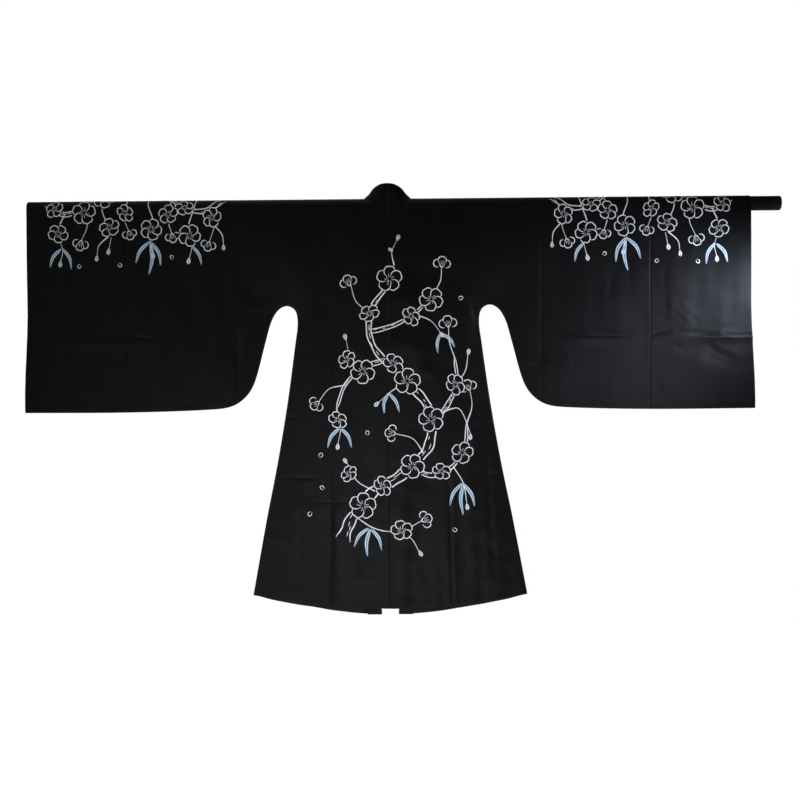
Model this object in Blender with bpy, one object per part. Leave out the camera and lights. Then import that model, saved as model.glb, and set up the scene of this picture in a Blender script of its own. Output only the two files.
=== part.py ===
"""A hanfu cloak hung over a straight rod, as a standalone model in metres with +Z up.

The rod lies along X and its axis is the origin. The cloth is folded over it at the shoulder line, so the
cloak has no shoulder seam. The back of the cloak faces -Y and its open front faces +Y.

Each half of the body is one piece of cloth, from the centre-back seam out to the sleeve seam, and from the
back hem over the rod to the front hem. A tube of the same cloth lengthens each sleeve, and a band in two
halves runs from the centre back round the neck and down each front edge.

A place on the flat cloth is a pair: how far it is across from the centre, and its run from the top of the
rod, below 0 down the back and above 0 down the front. The function hang says where that place hangs.
"""
import math
from collections import namedtuple

import bmesh
import bpy
from mathutils import Vector
from mathutils.geometry import delaunay_2d_cdt, intersect_point_line

# The rod
ROD_RADIUS = 0.020
ROD_LEFT = -0.985
ROD_RIGHT = 1.067
ROD_SIDES = 40
CAP_LENGTH = 0.029
CAP_ROUNDING = 0.003

# The cloth, and how it lies over the rod
CLOTH = 0.0015
GAP = 0.0003
WRAP = ROD_RADIUS + GAP + CLOTH / 2
QUARTER = math.pi / 2 * WRAP
ROWS_OVER_ROD = 10

# The bend where the back and front walls join at a closed edge
EDGE_BEND = 0.003
EDGE_STEPS = 4

# The cut
SLEEVE_SEAM = 0.730
CUFF_TOP = 1.009
CUFF_FOOT = 1.022
CUFF_STRAIGHT = 0.270
HEM_HALF = 0.384
HEM_SIDE = -1.086
BACK_HEM = -1.122
FRONT_HEM = -1.146
HEM_CURVE = 1.85

# The neck, whose cut turns a round corner on top of the rod, and the band sewn into it
NECK_HALF = 0.0645
NECK_BACK = -QUARTER + 0.0224
NECK_ROUNDING = -NECK_BACK
NECK_STANDS = 0.35 * NECK_HALF
NECK_STEP = 0.014
BAND_LIFT = CLOTH + GAP
LIFT_FROM, LIFT_TO = 0.080, 0.125
BAND_STEPS = 3
BAND_FINE_DOWN = 0.200
BAND_FINE_STEP = 0.022
BAND_STEP = 0.055

# How far in from a closed edge the two walls go on parting, in the body and out in the sleeves
BODY_REACH = 0.22
SLEEVE_REACH = 0.60
REACH_FROM, REACH_TO = 0.22, 0.50
TOP_REACH = 0.25

# Where the folds fade out beside a closed edge and below the rod
FADE_AT_EDGE = 0.040
FADE_AT_ROD = 0.060

# The mesh: how far apart its points are, and how near they come to an edge or to each other
STEP_ACROSS = 0.040
STEP_DOWN = 0.062
STEP_EDGE = 0.034
STEP_FOLD = 0.060
NEAR_FOLD = 0.016
NEAR_GRID = 0.026
NEAR_EDGE = 0.012
NEAR_ROD_ROW = 0.008
SAME = 1e-6

# The closed edge of one half, from the hem up the side seam, round the underarm and along the sleeve's foot
ClosedEdge = namedtuple("ClosedEdge", "across height")
CLOSED_EDGE = (
    ClosedEdge(0.3840, -1.0860),
    ClosedEdge(0.3460, -0.8800),
    ClosedEdge(0.3130, -0.7150),
    ClosedEdge(0.2840, -0.5460),
    ClosedEdge(0.2610, -0.3800),
    ClosedEdge(0.2545, -0.3250),
    ClosedEdge(0.2610, -0.2900),
    ClosedEdge(0.2835, -0.2770),
    ClosedEdge(0.3080, -0.2880),
    ClosedEdge(0.3277, -0.3200),
    ClosedEdge(0.3441, -0.3760),
    ClosedEdge(0.3751, -0.4880),
    ClosedEdge(0.4000, -0.5300),
    ClosedEdge(0.4400, -0.5570),
    ClosedEdge(0.5000, -0.5660),
    ClosedEdge(0.7300, -0.5725),
    ClosedEdge(1.0220, -0.5720),
)

# The largest folds. Each runs from one place to another on one wall, and a depth above 0 stands out from the
# cloak. A soft fold is rounded, and a pressed one is a crease left from packing. One that is open keeps its
# depth to its end, at an edge of the cloth.
Fold = namedtuple("Fold", "wall across height to_across to_height width depth kind end")
FOLDS = (
    Fold("back", -0.153, -0.700, -0.160, -1.130, 0.030, -0.0040, "pressed", "open"),
    Fold("back", 0.160, -0.860, 0.168, -1.130, 0.030, 0.0045, "pressed", "open"),
    Fold("back", 0.020, -0.720, 0.012, -1.150, 0.060, 0.0060, "soft", "open"),
    Fold("back", 0.085, -0.560, 0.110, -0.860, 0.045, -0.0040, "soft", "fades"),
    Fold("back", -0.080, -0.860, -0.075, -1.150, 0.045, -0.0035, "soft", "open"),
    Fold("back", -0.260, -0.780, -0.300, -1.110, 0.050, 0.0040, "soft", "open"),
    Fold("back", 0.270, -0.760, 0.300, -1.110, 0.050, 0.0040, "soft", "open"),
    Fold("back", 0.040, -0.350, 0.175, -0.600, 0.040, 0.0040, "soft", "fades"),
    Fold("back", 0.190, -0.220, 0.235, -0.380, 0.030, 0.0035, "soft", "fades"),
    Fold("back", 0.075, -0.040, 0.080, -0.300, 0.040, -0.0035, "soft", "fades"),
    Fold("back", 0.010, -0.040, -0.075, -0.130, 0.026, 0.0030, "soft", "fades"),
    Fold("back", 0.420, -0.375, 1.020, -0.372, 0.026, 0.0045, "pressed", "open"),
    Fold("back", 0.770, -0.395, 0.930, -0.500, 0.034, 0.0045, "soft", "fades"),
    Fold("back", 0.860, -0.385, 0.985, -0.470, 0.034, -0.0040, "soft", "fades"),
    Fold("back", 0.760, -0.270, 0.860, -0.360, 0.034, 0.0040, "soft", "fades"),
    Fold("back", 0.420, -0.430, 0.500, -0.520, 0.030, 0.0035, "soft", "fades"),
    Fold("back", -1.000, -0.378, -0.640, -0.380, 0.026, 0.0030, "pressed", "fades"),
    Fold("back", -0.420, -0.330, -0.420, -0.520, 0.026, -0.0030, "pressed", "fades"),
    Fold("front", -0.200, -0.620, -0.215, -1.150, 0.050, 0.0055, "soft", "open"),
    Fold("front", 0.185, -0.560, 0.205, -1.150, 0.055, 0.0060, "soft", "open"),
    Fold("front", -0.125, -0.300, -0.130, -0.760, 0.045, -0.0040, "soft", "fades"),
    Fold("front", 0.120, -0.340, 0.112, -0.780, 0.045, -0.0040, "soft", "fades"),
    Fold("front", -0.300, -0.800, -0.330, -1.110, 0.040, -0.0035, "soft", "open"),
    Fold("front", 0.290, -0.820, 0.325, -1.110, 0.040, -0.0035, "soft", "open"),
    Fold("front", 0.210, -0.230, 0.150, -0.420, 0.035, 0.0035, "soft", "fades"),
    Fold("front", -0.210, -0.230, -0.160, -0.400, 0.035, 0.0035, "soft", "fades"),
    Fold("front", -0.440, -0.374, -1.020, -0.376, 0.026, 0.0040, "pressed", "open"),
    Fold("front", 0.440, -0.376, 1.020, -0.374, 0.026, 0.0035, "pressed", "open"),
    Fold("front", 0.760, -0.400, 0.900, -0.500, 0.034, -0.0040, "soft", "fades"),
    Fold("front", -0.760, -0.400, -0.920, -0.490, 0.034, 0.0040, "soft", "fades"),
    Fold("front", -0.800, -0.140, -0.700, -0.320, 0.040, 0.0035, "soft", "fades"),
)
FOLD_ENDS = 0.3
PRESSED_POWER = 1.5

# The free edge of the neck band. Run is the length already run along its seam from the centre back. After
# the last place it hangs straight down, level with its seam.
FreeEdge = namedtuple("FreeEdge", "run across out height")
FREE_EDGE = (
    FreeEdge(0.000, 0.0000, -0.0225, 0.0620),
    FreeEdge(0.018, 0.0180, -0.0190, 0.0600),
    FreeEdge(0.036, 0.0340, -0.0060, 0.0540),
    FreeEdge(0.056, 0.0450, 0.0110, 0.0460),
    FreeEdge(0.076, 0.0500, 0.0270, 0.0340),
    FreeEdge(0.096, 0.0460, 0.0390, 0.0120),
    FreeEdge(0.120, 0.0360, 0.0400, -0.0220),
    FreeEdge(0.170, 0.0275, 0.0300, -0.0740),
    FreeEdge(0.220, 0.0250, 0.0235, -0.1160),
    FreeEdge(0.300, 0.0245, 0.0213, -0.1880),
)

Finish = namedtuple("Finish", "colour roughness metallic")
FINISHES = {
    "cloth": Finish((0.012, 0.012, 0.014, 1.0), 0.80, 0.0),
    "band cloth": Finish((0.010, 0.010, 0.012, 1.0), 0.75, 0.0),
    "rod": Finish((0.020, 0.018, 0.015, 1.0), 0.45, 0.0),
    "cap": Finish((0.030, 0.028, 0.025, 1.0), 0.35, 0.0),
}
SHARP = math.radians(50)


def material(name):
    """One material for one node, with a Principled surface."""
    finish = FINISHES[name]
    made = bpy.data.materials.new(name)
    made.use_nodes = True
    surface = made.node_tree.nodes["Principled BSDF"]
    surface.inputs["Base Color"].default_value = finish.colour
    surface.inputs["Roughness"].default_value = finish.roughness
    surface.inputs["Metallic"].default_value = finish.metallic
    return made


def add_object(name, mesh, finish):
    """Links a mesh to the scene under its node's name."""
    mesh.shade_smooth()
    mesh.set_sharp_from_angle(angle=SHARP)
    mesh.materials.append(material(finish))
    made = bpy.data.objects.new(name, mesh)
    bpy.context.scene.collection.objects.link(made)
    return made


def ease(value, low, high):
    """0 below low, 1 above high, and a smooth step between them."""
    share = min(1.0, max(0.0, (value - low) / (high - low)))
    return share * share * (3 - 2 * share)


def spread(start, end, spacing):
    """Evenly spread values from start up to, but not with, end."""
    count = max(1, math.ceil(abs(end - start) / spacing - SAME))
    return [start + (end - start) * i / count for i in range(count)]


def smooth_line(stops, counts):
    """A smooth line through the stops, with a count of points from each stop to the next."""
    lengths = [(b - a).length for a, b in zip(stops, stops[1:])]
    slopes = [(stops[1] - stops[0]) / lengths[0]]
    for i in range(1, len(stops) - 1):
        slopes.append((stops[i + 1] - stops[i - 1]) / (lengths[i - 1] + lengths[i]))
    slopes.append((stops[-1] - stops[-2]) / lengths[-1])
    line = []
    for i, (length, count) in enumerate(zip(lengths, counts)):
        for t in spread(0.0, 1.0, 1 / count):
            here = stops[i] * (2 * t**3 - 3 * t**2 + 1) + stops[i + 1] * (3 * t**2 - 2 * t**3)
            bend = slopes[i] * (t**3 - 2 * t**2 + t) + slopes[i + 1] * (t**3 - t**2)
            line.append(here + bend * length)
    return line + [stops[-1]]


def off_line(place, start, end):
    """How far a place is from a stretch of line, and how far along it the nearest point is, from 0 to 1."""
    along = min(1.0, max(0.0, intersect_point_line(place, start, end)[1]))
    return (place - start.lerp(end, along)).length, along


def closed_edge_line():
    """The middle of the cloth just inside the closed edge, and the outward direction at each point."""
    stops = [Vector(stop) for stop in CLOSED_EDGE]
    counts = [max(2, math.ceil((b - a).length / STEP_EDGE)) for a, b in zip(stops, stops[1:])]
    line = smooth_line(stops, counts)
    outward = []
    for i in range(len(line)):
        along = line[min(i + 1, len(line) - 1)] - line[max(i - 1, 0)]
        outward.append(Vector((along.y, -along.x)).normalized())
    inset = EDGE_BEND + CLOTH / 2
    return [point - out * inset for point, out in zip(line, outward)], outward


EDGE_LINE, EDGE_OUT = closed_edge_line()


def edge_distance(across, height):
    """How far a place on the cloth is from the closed edge of its half."""
    place = Vector((abs(across), height))
    return min(off_line(place, a, b)[0] for a, b in zip(EDGE_LINE, EDGE_LINE[1:]))


def sleeve_foot(across):
    """The height of the closed edge along the sleeve's foot."""
    a, b = next(pair for pair in zip(EDGE_LINE[-12:], EDGE_LINE[-11:]) if pair[1].x >= across - SAME)
    return a.y + (b.y - a.y) * (across - a.x) / (b.x - a.x)


def hem_height(across, low):
    """The height of a hem, from its lowest height at the centre."""
    return low + (HEM_SIDE - low) * (abs(across) / HEM_HALF) ** HEM_CURVE


def cuff_across(run):
    """How far out the cuff's edge is. It leans out a little towards its foot."""
    height = QUARTER - abs(run)
    return CUFF_TOP + (CUFF_FOOT - CUFF_TOP) * ease(-height, CUFF_STRAIGHT, -CLOSED_EDGE[-1].height)


def fold_depth(wall, across, height):
    """How far the folds move a wall out at a place."""
    place = Vector((across, height))
    depth = 0.0
    for fold in FOLDS:
        if fold.wall != wall:
            continue
        start, end = Vector((fold.across, fold.height)), Vector((fold.to_across, fold.to_height))
        off, along = off_line(place, start, end)
        share = min(1.0, off / fold.width)
        shape = (1 - share) ** PRESSED_POWER if fold.kind == "pressed" else (1 - share**2) ** 2
        rise = ease(along, 0.0, FOLD_ENDS)
        fall = 1.0 if fold.end == "open" else ease(1 - along, 0.0, FOLD_ENDS)
        depth += fold.depth * shape * rise * fall
    return depth


def half_gap(across, height):
    """Half of the distance between the back and the front wall, without their folds."""
    reach = BODY_REACH + (SLEEVE_REACH - BODY_REACH) * ease(abs(across), REACH_FROM, REACH_TO)
    share = min(1.0, edge_distance(across, height) / reach)
    hanging = EDGE_BEND + (WRAP - EDGE_BEND) * share * (2 - share)
    return hanging + (WRAP - hanging) * ease(height, -TOP_REACH, 0.0)


def hang(across, run):
    """Where a place on the flat cloth hangs. The back of the neck stands straight up off the rod."""
    if abs(run) <= QUARTER:
        angle = run / WRAP
        wrapped = Vector((across, WRAP * math.sin(angle), WRAP * math.cos(angle)))
        if run >= 0:
            return wrapped
        standing = Vector((across, -WRAP, run + QUARTER))
        return standing.lerp(wrapped, ease(abs(across), NECK_STANDS, NECK_HALF))
    height = QUARTER - abs(run)
    wall = "front" if run > 0 else "back"
    fade = ease(edge_distance(across, height), 0.0, FADE_AT_EDGE) * ease(-height, 0.0, FADE_AT_ROD)
    out = half_gap(across, height) + fold_depth(wall, across, height) * fade
    return Vector((across, out if run > 0 else -out, height))


def over_rod_rows():
    """The runs of the rows where the cloth lies on the rod, from back to front."""
    return [-QUARTER + 2 * QUARTER * i / ROWS_OVER_ROD for i in range(ROWS_OVER_ROD + 1)]


def rows_between(back_foot, front_foot):
    """The runs down a line that crosses the rod, without the two at its feet."""
    back = spread(back_foot - QUARTER, -QUARTER, STEP_DOWN)
    front = spread(QUARTER - front_foot, QUARTER, STEP_DOWN)
    return back[1:] + over_rod_rows() + front[:0:-1]


def neck_line(shrink):
    """The neck's cut on one half, from the centre back round its corner to the top of the front edge."""
    middle = Vector((NECK_HALF - NECK_ROUNDING, NECK_BACK + NECK_ROUNDING))
    radius = NECK_ROUNDING - shrink
    line = [Vector((across, middle.y - radius)) for across in spread(GAP / 2, middle.x, NECK_STEP)]
    turns = {math.pi / 8 * i for i in range(5)}
    turns |= {math.acos((middle.y - row) / radius) for row in over_rod_rows() if middle.y - radius < row < 0}
    for turn in sorted(turns):
        line.append(middle + Vector((math.sin(turn), -math.cos(turn))) * radius)
    return line


def cloth_solid(name, points, faces, finish, level_at):
    """Gives a surface its thickness, half to each side, with its edges cut level at the named seams."""
    normals = [Vector((0, 0, 0)) for _ in points]
    sides = set()
    for face in faces:
        a, b, c = (points[i] for i in face[:3])
        for i in face:
            normals[i] += (b - a).cross(c - a)
        sides.update(zip(face, face[1:] + face[:1]))
    outer, inner = [], []
    for point, normal in zip(points, normals):
        if any(abs(abs(point.x) - level) < SAME for level in level_at):
            normal.x = 0.0
        half = normal.normalized() * (CLOTH / 2)
        outer.append(point + half)
        inner.append(point - half)
    count = len(points)
    solid = list(faces) + [tuple(i + count for i in reversed(face)) for face in faces]
    solid += [(b, a, a + count, b + count) for a, b in sides if (b, a) not in sides]
    mesh = bpy.data.meshes.new(name)
    mesh.from_pydata(outer + inner, [], solid)
    shape = bmesh.new()
    shape.from_mesh(mesh)
    bmesh.ops.triangulate(shape, faces=shape.faces)
    shape.to_mesh(mesh)
    shape.free()
    return add_object(name, mesh, finish)


def is_inside(place, outline, margin):
    """Whether a place is inside an outline, and further than the margin from its edge."""
    edges = list(zip(outline, outline[1:] + outline[:1]))
    crossings = 0
    for a, b in edges:
        if (a.y > place.y) != (b.y > place.y):
            crossings += place.x < a.x + (b.x - a.x) * (place.y - a.y) / (b.y - a.y)
    return crossings % 2 == 1 and min(off_line(place, a, b)[0] for a, b in edges) > margin


def places_along_folds(side):
    """Places along the middle, the flanks and the feet of each fold, on the flat cloth of one side."""
    for fold in FOLDS:
        facing = -1 if fold.wall == "back" else 1
        start = Vector((fold.across * side, facing * (QUARTER - fold.height)))
        end = Vector((fold.to_across * side, facing * (QUARTER - fold.to_height)))
        beside = (end - start).normalized().orthogonal() * fold.width
        count = max(2, round((end - start).length / STEP_FOLD))
        for i in range(count + 1):
            for share in (-1, -0.5, 0, 0.5, 1):
                yield start.lerp(end, i / count) + beside * share


def inside_places(outline, side):
    """The places inside an outline: close ones along the folds, a plain grid, and the rows over the rod."""
    kept = []

    def keep(place, apart):
        on_wall = abs(place.y) > QUARTER + NEAR_ROD_ROW
        if on_wall and is_inside(place, outline, NEAR_EDGE):
            if all((place - other).length > apart for other in kept):
                kept.append(place)

    for place in places_along_folds(side):
        keep(place, NEAR_FOLD)
    columns = spread(min(p.x for p in outline), max(p.x for p in outline), STEP_ACROSS)[1:]
    back = spread(min(p.y for p in outline), -QUARTER, STEP_DOWN)
    front = spread(max(p.y for p in outline), QUARTER, STEP_DOWN)
    for column in columns:
        for row in back + front:
            keep(Vector((column, row)), NEAR_GRID)
    on_rod = [Vector((column, row)) for column in columns for row in over_rod_rows()]
    return kept + [place for place in on_rod if is_inside(place, outline, GAP)]


def row_links(places):
    """Links between neighbouring places in each row over the rod, so that no face cuts into the rod."""
    links = []
    for row in over_rod_rows():
        in_row = [i for i, place in enumerate(places) if abs(place.y - row) < SAME]
        in_row.sort(key=lambda i: places[i].x)
        links += zip(in_row, in_row[1:])
    return links


def edge_bend(place, out, side):
    """The points of the bend that joins the back wall to the front wall at one place on a closed edge."""
    bend = []
    for step in range(1, EDGE_STEPS):
        angle = math.pi * (step / EDGE_STEPS - 0.5)
        at = place + out * EDGE_BEND * math.cos(angle)
        bend.append(Vector((at.x * side, EDGE_BEND * math.sin(angle), at.y)))
    return bend


def hung_piece(name, side, outline, joined, level_at):
    """A piece of cloth over the rod. Joined lists the closed edge's places, each on the back and the front."""
    places = outline + inside_places(outline, side)
    border = [list(range(len(outline)))]
    flat, _, triangles, sources, _, _ = delaunay_2d_cdt(places, row_links(places), border, 1, SAME)
    points = [hang(place.x * side, place.y) for place in flat]
    made_from = {source: i for i, several in enumerate(sources) for source in several}
    faces = []
    for a, b, c in triangles:
        turn = (flat[b] - flat[a]).cross(flat[c] - flat[a]) * side
        faces.append((a, b, c) if turn > 0 else (c, b, a))
    last_ring = None
    for back, front, place, out in joined:
        bend = edge_bend(place, out, side)
        ring = [made_from[back]] + list(range(len(points), len(points) + len(bend))) + [made_from[front]]
        points += bend
        if last_ring:
            for i in range(EDGE_STEPS):
                quad = (last_ring[i], last_ring[i + 1], ring[i + 1], ring[i])
                faces.append(quad if side > 0 else quad[::-1])
        last_ring = ring
    return cloth_solid(name, points, faces, "cloth", level_at)


def on_back(edge):
    """The places of a closed edge on the back of the flat cloth."""
    return [Vector((place.x, place.y - QUARTER)) for place, _ in edge]


def on_front(edge):
    """The places of a closed edge on the front of the flat cloth, the other way round."""
    return [Vector((place.x, QUARTER - place.y)) for place, _ in reversed(edge)]


def joined_pairs(edge, first_back, first_front):
    """The closed edge's places, each with its place in the outline on the back and on the front."""
    last = first_front + len(edge) - 1
    return [(first_back + i, last - i, place, out) for i, (place, out) in enumerate(edge)]


def half_body(name, side):
    """One half of the body with the inner part of its sleeve, from the back hem to the front hem."""
    seam_at, band_at, centre = SLEEVE_SEAM - GAP / 2, NECK_HALF + GAP / 2, GAP / 2
    foot = sleeve_foot(seam_at)
    edge = [(place, out) for place, out in zip(EDGE_LINE, EDGE_OUT) if place.x < seam_at - NEAR_EDGE]
    edge.append((Vector((seam_at, foot)), Vector((0, -1))))
    edge[0][0].y = hem_height(edge[0][0].x, FRONT_HEM)
    corner = edge[0][0].x
    back_low = hem_height(centre, BACK_HEM) - QUARTER
    front_low = QUARTER - hem_height(band_at, FRONT_HEM)
    back_hem = [
        Vector((across, hem_height(across, BACK_HEM) - QUARTER))
        for across in spread(centre, corner, STEP_ACROSS)
    ]
    front_hem = [
        Vector((across, QUARTER - hem_height(across, FRONT_HEM)))
        for across in spread(corner, band_at, STEP_ACROSS)[1:]
    ]
    seam = [Vector((seam_at, run)) for run in rows_between(foot, foot)]
    neck = neck_line(-GAP / 2)
    front = [Vector((band_at, run)) for run in spread(front_low, QUARTER, STEP_DOWN)]
    front += [Vector((band_at, run)) for run in reversed(over_rod_rows()) if run > neck[-1].y + SAME]
    back = [Vector((centre, run)) for run in reversed(over_rod_rows()) if run < neck[0].y - SAME]
    back += [Vector((centre, run)) for run in spread(-QUARTER, back_low, STEP_DOWN)[1:]]
    outline = back_hem + on_back(edge) + seam + on_front(edge) + front_hem + front + neck[::-1] + back
    joined = joined_pairs(edge, len(back_hem), len(back_hem) + len(edge) + len(seam))
    return hung_piece(name, side, outline, joined, (seam_at, centre, band_at))


def sleeve_end(name, side):
    """The tube of cloth that lengthens a sleeve, from the sleeve seam to the cuff."""
    seam_at = SLEEVE_SEAM + GAP / 2
    acrosses = spread(seam_at, CUFF_FOOT, STEP_ACROSS) + [EDGE_LINE[-1].x]
    edge = [(Vector((across, sleeve_foot(across))), Vector((0, -1))) for across in acrosses]
    foot, cuff_foot = edge[0][0].y, edge[-1][0].y
    cuff = [Vector((cuff_across(run), run)) for run in rows_between(cuff_foot, cuff_foot)]
    seam = [Vector((seam_at, run)) for run in reversed(rows_between(foot, foot))]
    outline = on_back(edge) + cuff + on_front(edge) + seam
    return hung_piece(name, side, outline, joined_pairs(edge, 0, len(edge) + len(cuff)), (seam_at,))


def free_edge_at(run, seam_point):
    """Where the band's free edge is, against a place on its seam."""
    last = FREE_EDGE[-1]
    if run >= last.run:
        return Vector((last.across, seam_point.y, seam_point.z))
    i = max(k for k, stop in enumerate(FREE_EDGE) if stop.run <= run)
    share = (run - FREE_EDGE[i].run) / (FREE_EDGE[i + 1].run - FREE_EDGE[i].run)
    stops = [Vector(stop[1:]) for stop in FREE_EDGE[max(i - 1, 0) : i + 3]]
    fine = 16
    line = smooth_line(stops, [fine] * (len(stops) - 1))
    at = (min(i, 1) + share) * fine
    low = int(at)
    return line[low].lerp(line[min(low + 1, len(line) - 1)], at - low)


def clear_of_rod(point):
    """A point moved straight out from the rod where the cloth there would cut into it."""
    off_axis = math.hypot(point.y, point.z)
    out = max(1.0, WRAP / off_axis)
    return Vector((point.x, point.y * out, point.z * out))


def band(name, side):
    """The neck and front band of one half, from the centre back to the front hem."""
    side_line = NECK_HALF - GAP / 2
    neck = neck_line(GAP / 2)
    low, fine_low = QUARTER - FRONT_HEM, QUARTER + BAND_FINE_DOWN
    runs_down = [run for run in over_rod_rows() if run > neck[-1].y + SAME]
    runs_down += spread(QUARTER, fine_low, BAND_FINE_STEP)[1:] + spread(fine_low, low, BAND_STEP) + [low]
    seam = neck + [Vector((side_line, run)) for run in runs_down]
    points, run = [], 0.0
    for i, place in enumerate(seam):
        run += (place - seam[max(i - 1, 0)]).length
        seam_point = hang(place.x, place.y)
        off_rod = Vector((0, seam_point.y, seam_point.z)).normalized()
        seam_point += off_rod * BAND_LIFT * (1 - ease(run, LIFT_FROM, LIFT_TO))
        edge_point = free_edge_at(run, seam_point)
        for step in range(BAND_STEPS + 1):
            point = clear_of_rod(seam_point.lerp(edge_point, step / BAND_STEPS))
            points.append(Vector((max(point.x, GAP / 2) * side, point.y, point.z)))
    faces = []
    width = BAND_STEPS + 1
    for i in range(len(seam) - 1):
        for step in range(BAND_STEPS):
            a = i * width + step
            quad = (a, a + 1, a + 1 + width, a + width)
            faces.append(quad if side < 0 else quad[::-1])
    return cloth_solid(name, points, faces, "band cloth", (GAP / 2, side_line))


def round_bar(name, start, length, rounding, finish):
    """A round bar along X from its start, with its far rim rounded over."""
    mesh = bpy.data.meshes.new(name)
    shape = bmesh.new()
    bmesh.ops.create_cone(
        shape, cap_ends=True, segments=ROD_SIDES, radius1=ROD_RADIUS, radius2=ROD_RADIUS, depth=length
    )
    if rounding:
        rim = [edge for edge in shape.edges if all(vert.co.z > 0 for vert in edge.verts)]
        bmesh.ops.bevel(shape, geom=rim, offset=rounding, segments=3, affect="EDGES", profile=0.5)
    shape.to_mesh(mesh)
    shape.free()
    made = add_object(name, mesh, finish)
    made.rotation_euler = (0, math.pi / 2, 0)
    made.location = (start + length / 2, 0, 0)
    return made


def main():
    for left_over in list(bpy.data.objects):
        bpy.data.objects.remove(left_over)
    round_bar("rod", ROD_LEFT, ROD_RIGHT - ROD_LEFT, 0.0, "rod")
    round_bar("rod_cap", ROD_RIGHT + GAP, CAP_LENGTH, CAP_ROUNDING, "cap")
    for word, side in (("left", -1), ("right", 1)):
        half_body("body_" + word, side)
        sleeve_end("sleeve_" + word, side)
        band("band_" + word, side)


main()
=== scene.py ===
# %% [markdown]
# # A hanfu cloak hung on its rod
#
# A hanfu cloak is cut flat, like a big letter T. Two long pieces of cloth meet at the centre back, fold
# over the shoulders without a seam, and open down the front, where a straight band finishes the neck and
# both edges. This one hangs on a round rod that runs through its sleeves, with its embroidered back towards
# us.
#
# The construction is done already. The frame holds the rod, its cap and six plain solids of cloth. This
# lesson gives each piece of cloth its real surface, and then its weave, its seams and its embroidery. It
# starts with the frame, because many sizes below are read from it.

# %% Load the frame
import math
import random
from collections import namedtuple

import bpy
import numpy as np
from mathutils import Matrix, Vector
from mathutils.geometry import delaunay_2d_cdt
from mathutils.kdtree import KDTree


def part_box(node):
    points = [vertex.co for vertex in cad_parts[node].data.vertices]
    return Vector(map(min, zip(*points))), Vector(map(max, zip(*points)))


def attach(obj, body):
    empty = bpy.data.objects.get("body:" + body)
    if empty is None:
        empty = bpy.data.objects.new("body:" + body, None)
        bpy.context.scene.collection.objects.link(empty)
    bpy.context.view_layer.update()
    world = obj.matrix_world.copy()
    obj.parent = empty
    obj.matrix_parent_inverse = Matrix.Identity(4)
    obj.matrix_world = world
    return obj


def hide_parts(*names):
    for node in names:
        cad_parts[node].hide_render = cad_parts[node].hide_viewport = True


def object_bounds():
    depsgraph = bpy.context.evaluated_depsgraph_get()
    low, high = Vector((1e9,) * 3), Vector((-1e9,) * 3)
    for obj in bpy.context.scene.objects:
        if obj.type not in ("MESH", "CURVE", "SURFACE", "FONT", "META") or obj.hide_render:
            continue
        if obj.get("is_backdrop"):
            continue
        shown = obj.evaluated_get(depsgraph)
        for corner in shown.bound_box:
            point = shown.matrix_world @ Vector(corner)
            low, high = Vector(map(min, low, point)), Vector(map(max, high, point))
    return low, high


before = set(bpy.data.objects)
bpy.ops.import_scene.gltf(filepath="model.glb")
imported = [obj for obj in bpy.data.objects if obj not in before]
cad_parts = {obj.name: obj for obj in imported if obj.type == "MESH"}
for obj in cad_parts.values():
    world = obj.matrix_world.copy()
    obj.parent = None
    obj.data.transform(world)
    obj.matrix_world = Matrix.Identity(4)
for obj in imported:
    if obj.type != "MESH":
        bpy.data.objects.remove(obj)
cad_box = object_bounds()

print("nodes:", ", ".join(sorted(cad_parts)))
print("frame box:", [[round(v, 4) for v in corner] for corner in cad_box])

# %% [markdown]
# ## Sizes from the frame
#
# The rod's axis is the origin, X runs along it, and the back of the cloak faces -Y. The cloth lies on the
# rod with a hair's gap, so its thickness is what is left between the rod and the top of a sleeve. The
# cloth's middle surface wraps the rod at one radius, and a quarter of a turn of it is the length of cloth
# from the rod's top to the place where the cloth starts to hang straight down.

# %% Sizes from the frame
GAP = 0.0003
rod_high = Vector(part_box("rod")[1])
body_high = Vector(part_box("body_right")[1])
sleeve_low, sleeve_high = (Vector(corner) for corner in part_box("sleeve_right"))
band_low, band_high = (Vector(corner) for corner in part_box("band_right"))

ROD_RADIUS = rod_high.z
CLOTH = sleeve_high.z - ROD_RADIUS - GAP
WRAP = ROD_RADIUS + GAP + CLOTH / 2
QUARTER = math.pi / 2 * WRAP
SLEEVE_SEAM = (body_high.x + sleeve_low.x) / 2
CUFF_FOOT = sleeve_high.x
NECK_HALF = band_high.x + GAP / 2
FRONT_HEM = band_low.z
print(f"cloth {CLOTH * 1000:.1f} mm, sleeve seam at {SLEEVE_SEAM:.3f} m, cuff at {CUFF_FOOT:.3f} m")
print(f"neck half {NECK_HALF:.4f} m, front hem at {FRONT_HEM:.3f} m")

# %% [markdown]
# ## Helpers for smooth shapes
#
# Cloth has no straight steps in it, so two helpers come back all the time. One eases a value from 0 to 1,
# and the other draws a smooth line through a few stops. The rest measure along and away from such a line.
# All of them work on whole arrays, because a cloak this size needs tens of thousands of points.

# %% Smooth steps and smooth lines
TINY = 1e-9


def ease(value, low, high):
    """0 below low, 1 above high, and a smooth step between them."""
    share = np.clip((np.asarray(value, float) - low) / (high - low), 0.0, 1.0)
    return share * share * (3 - 2 * share)


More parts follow.
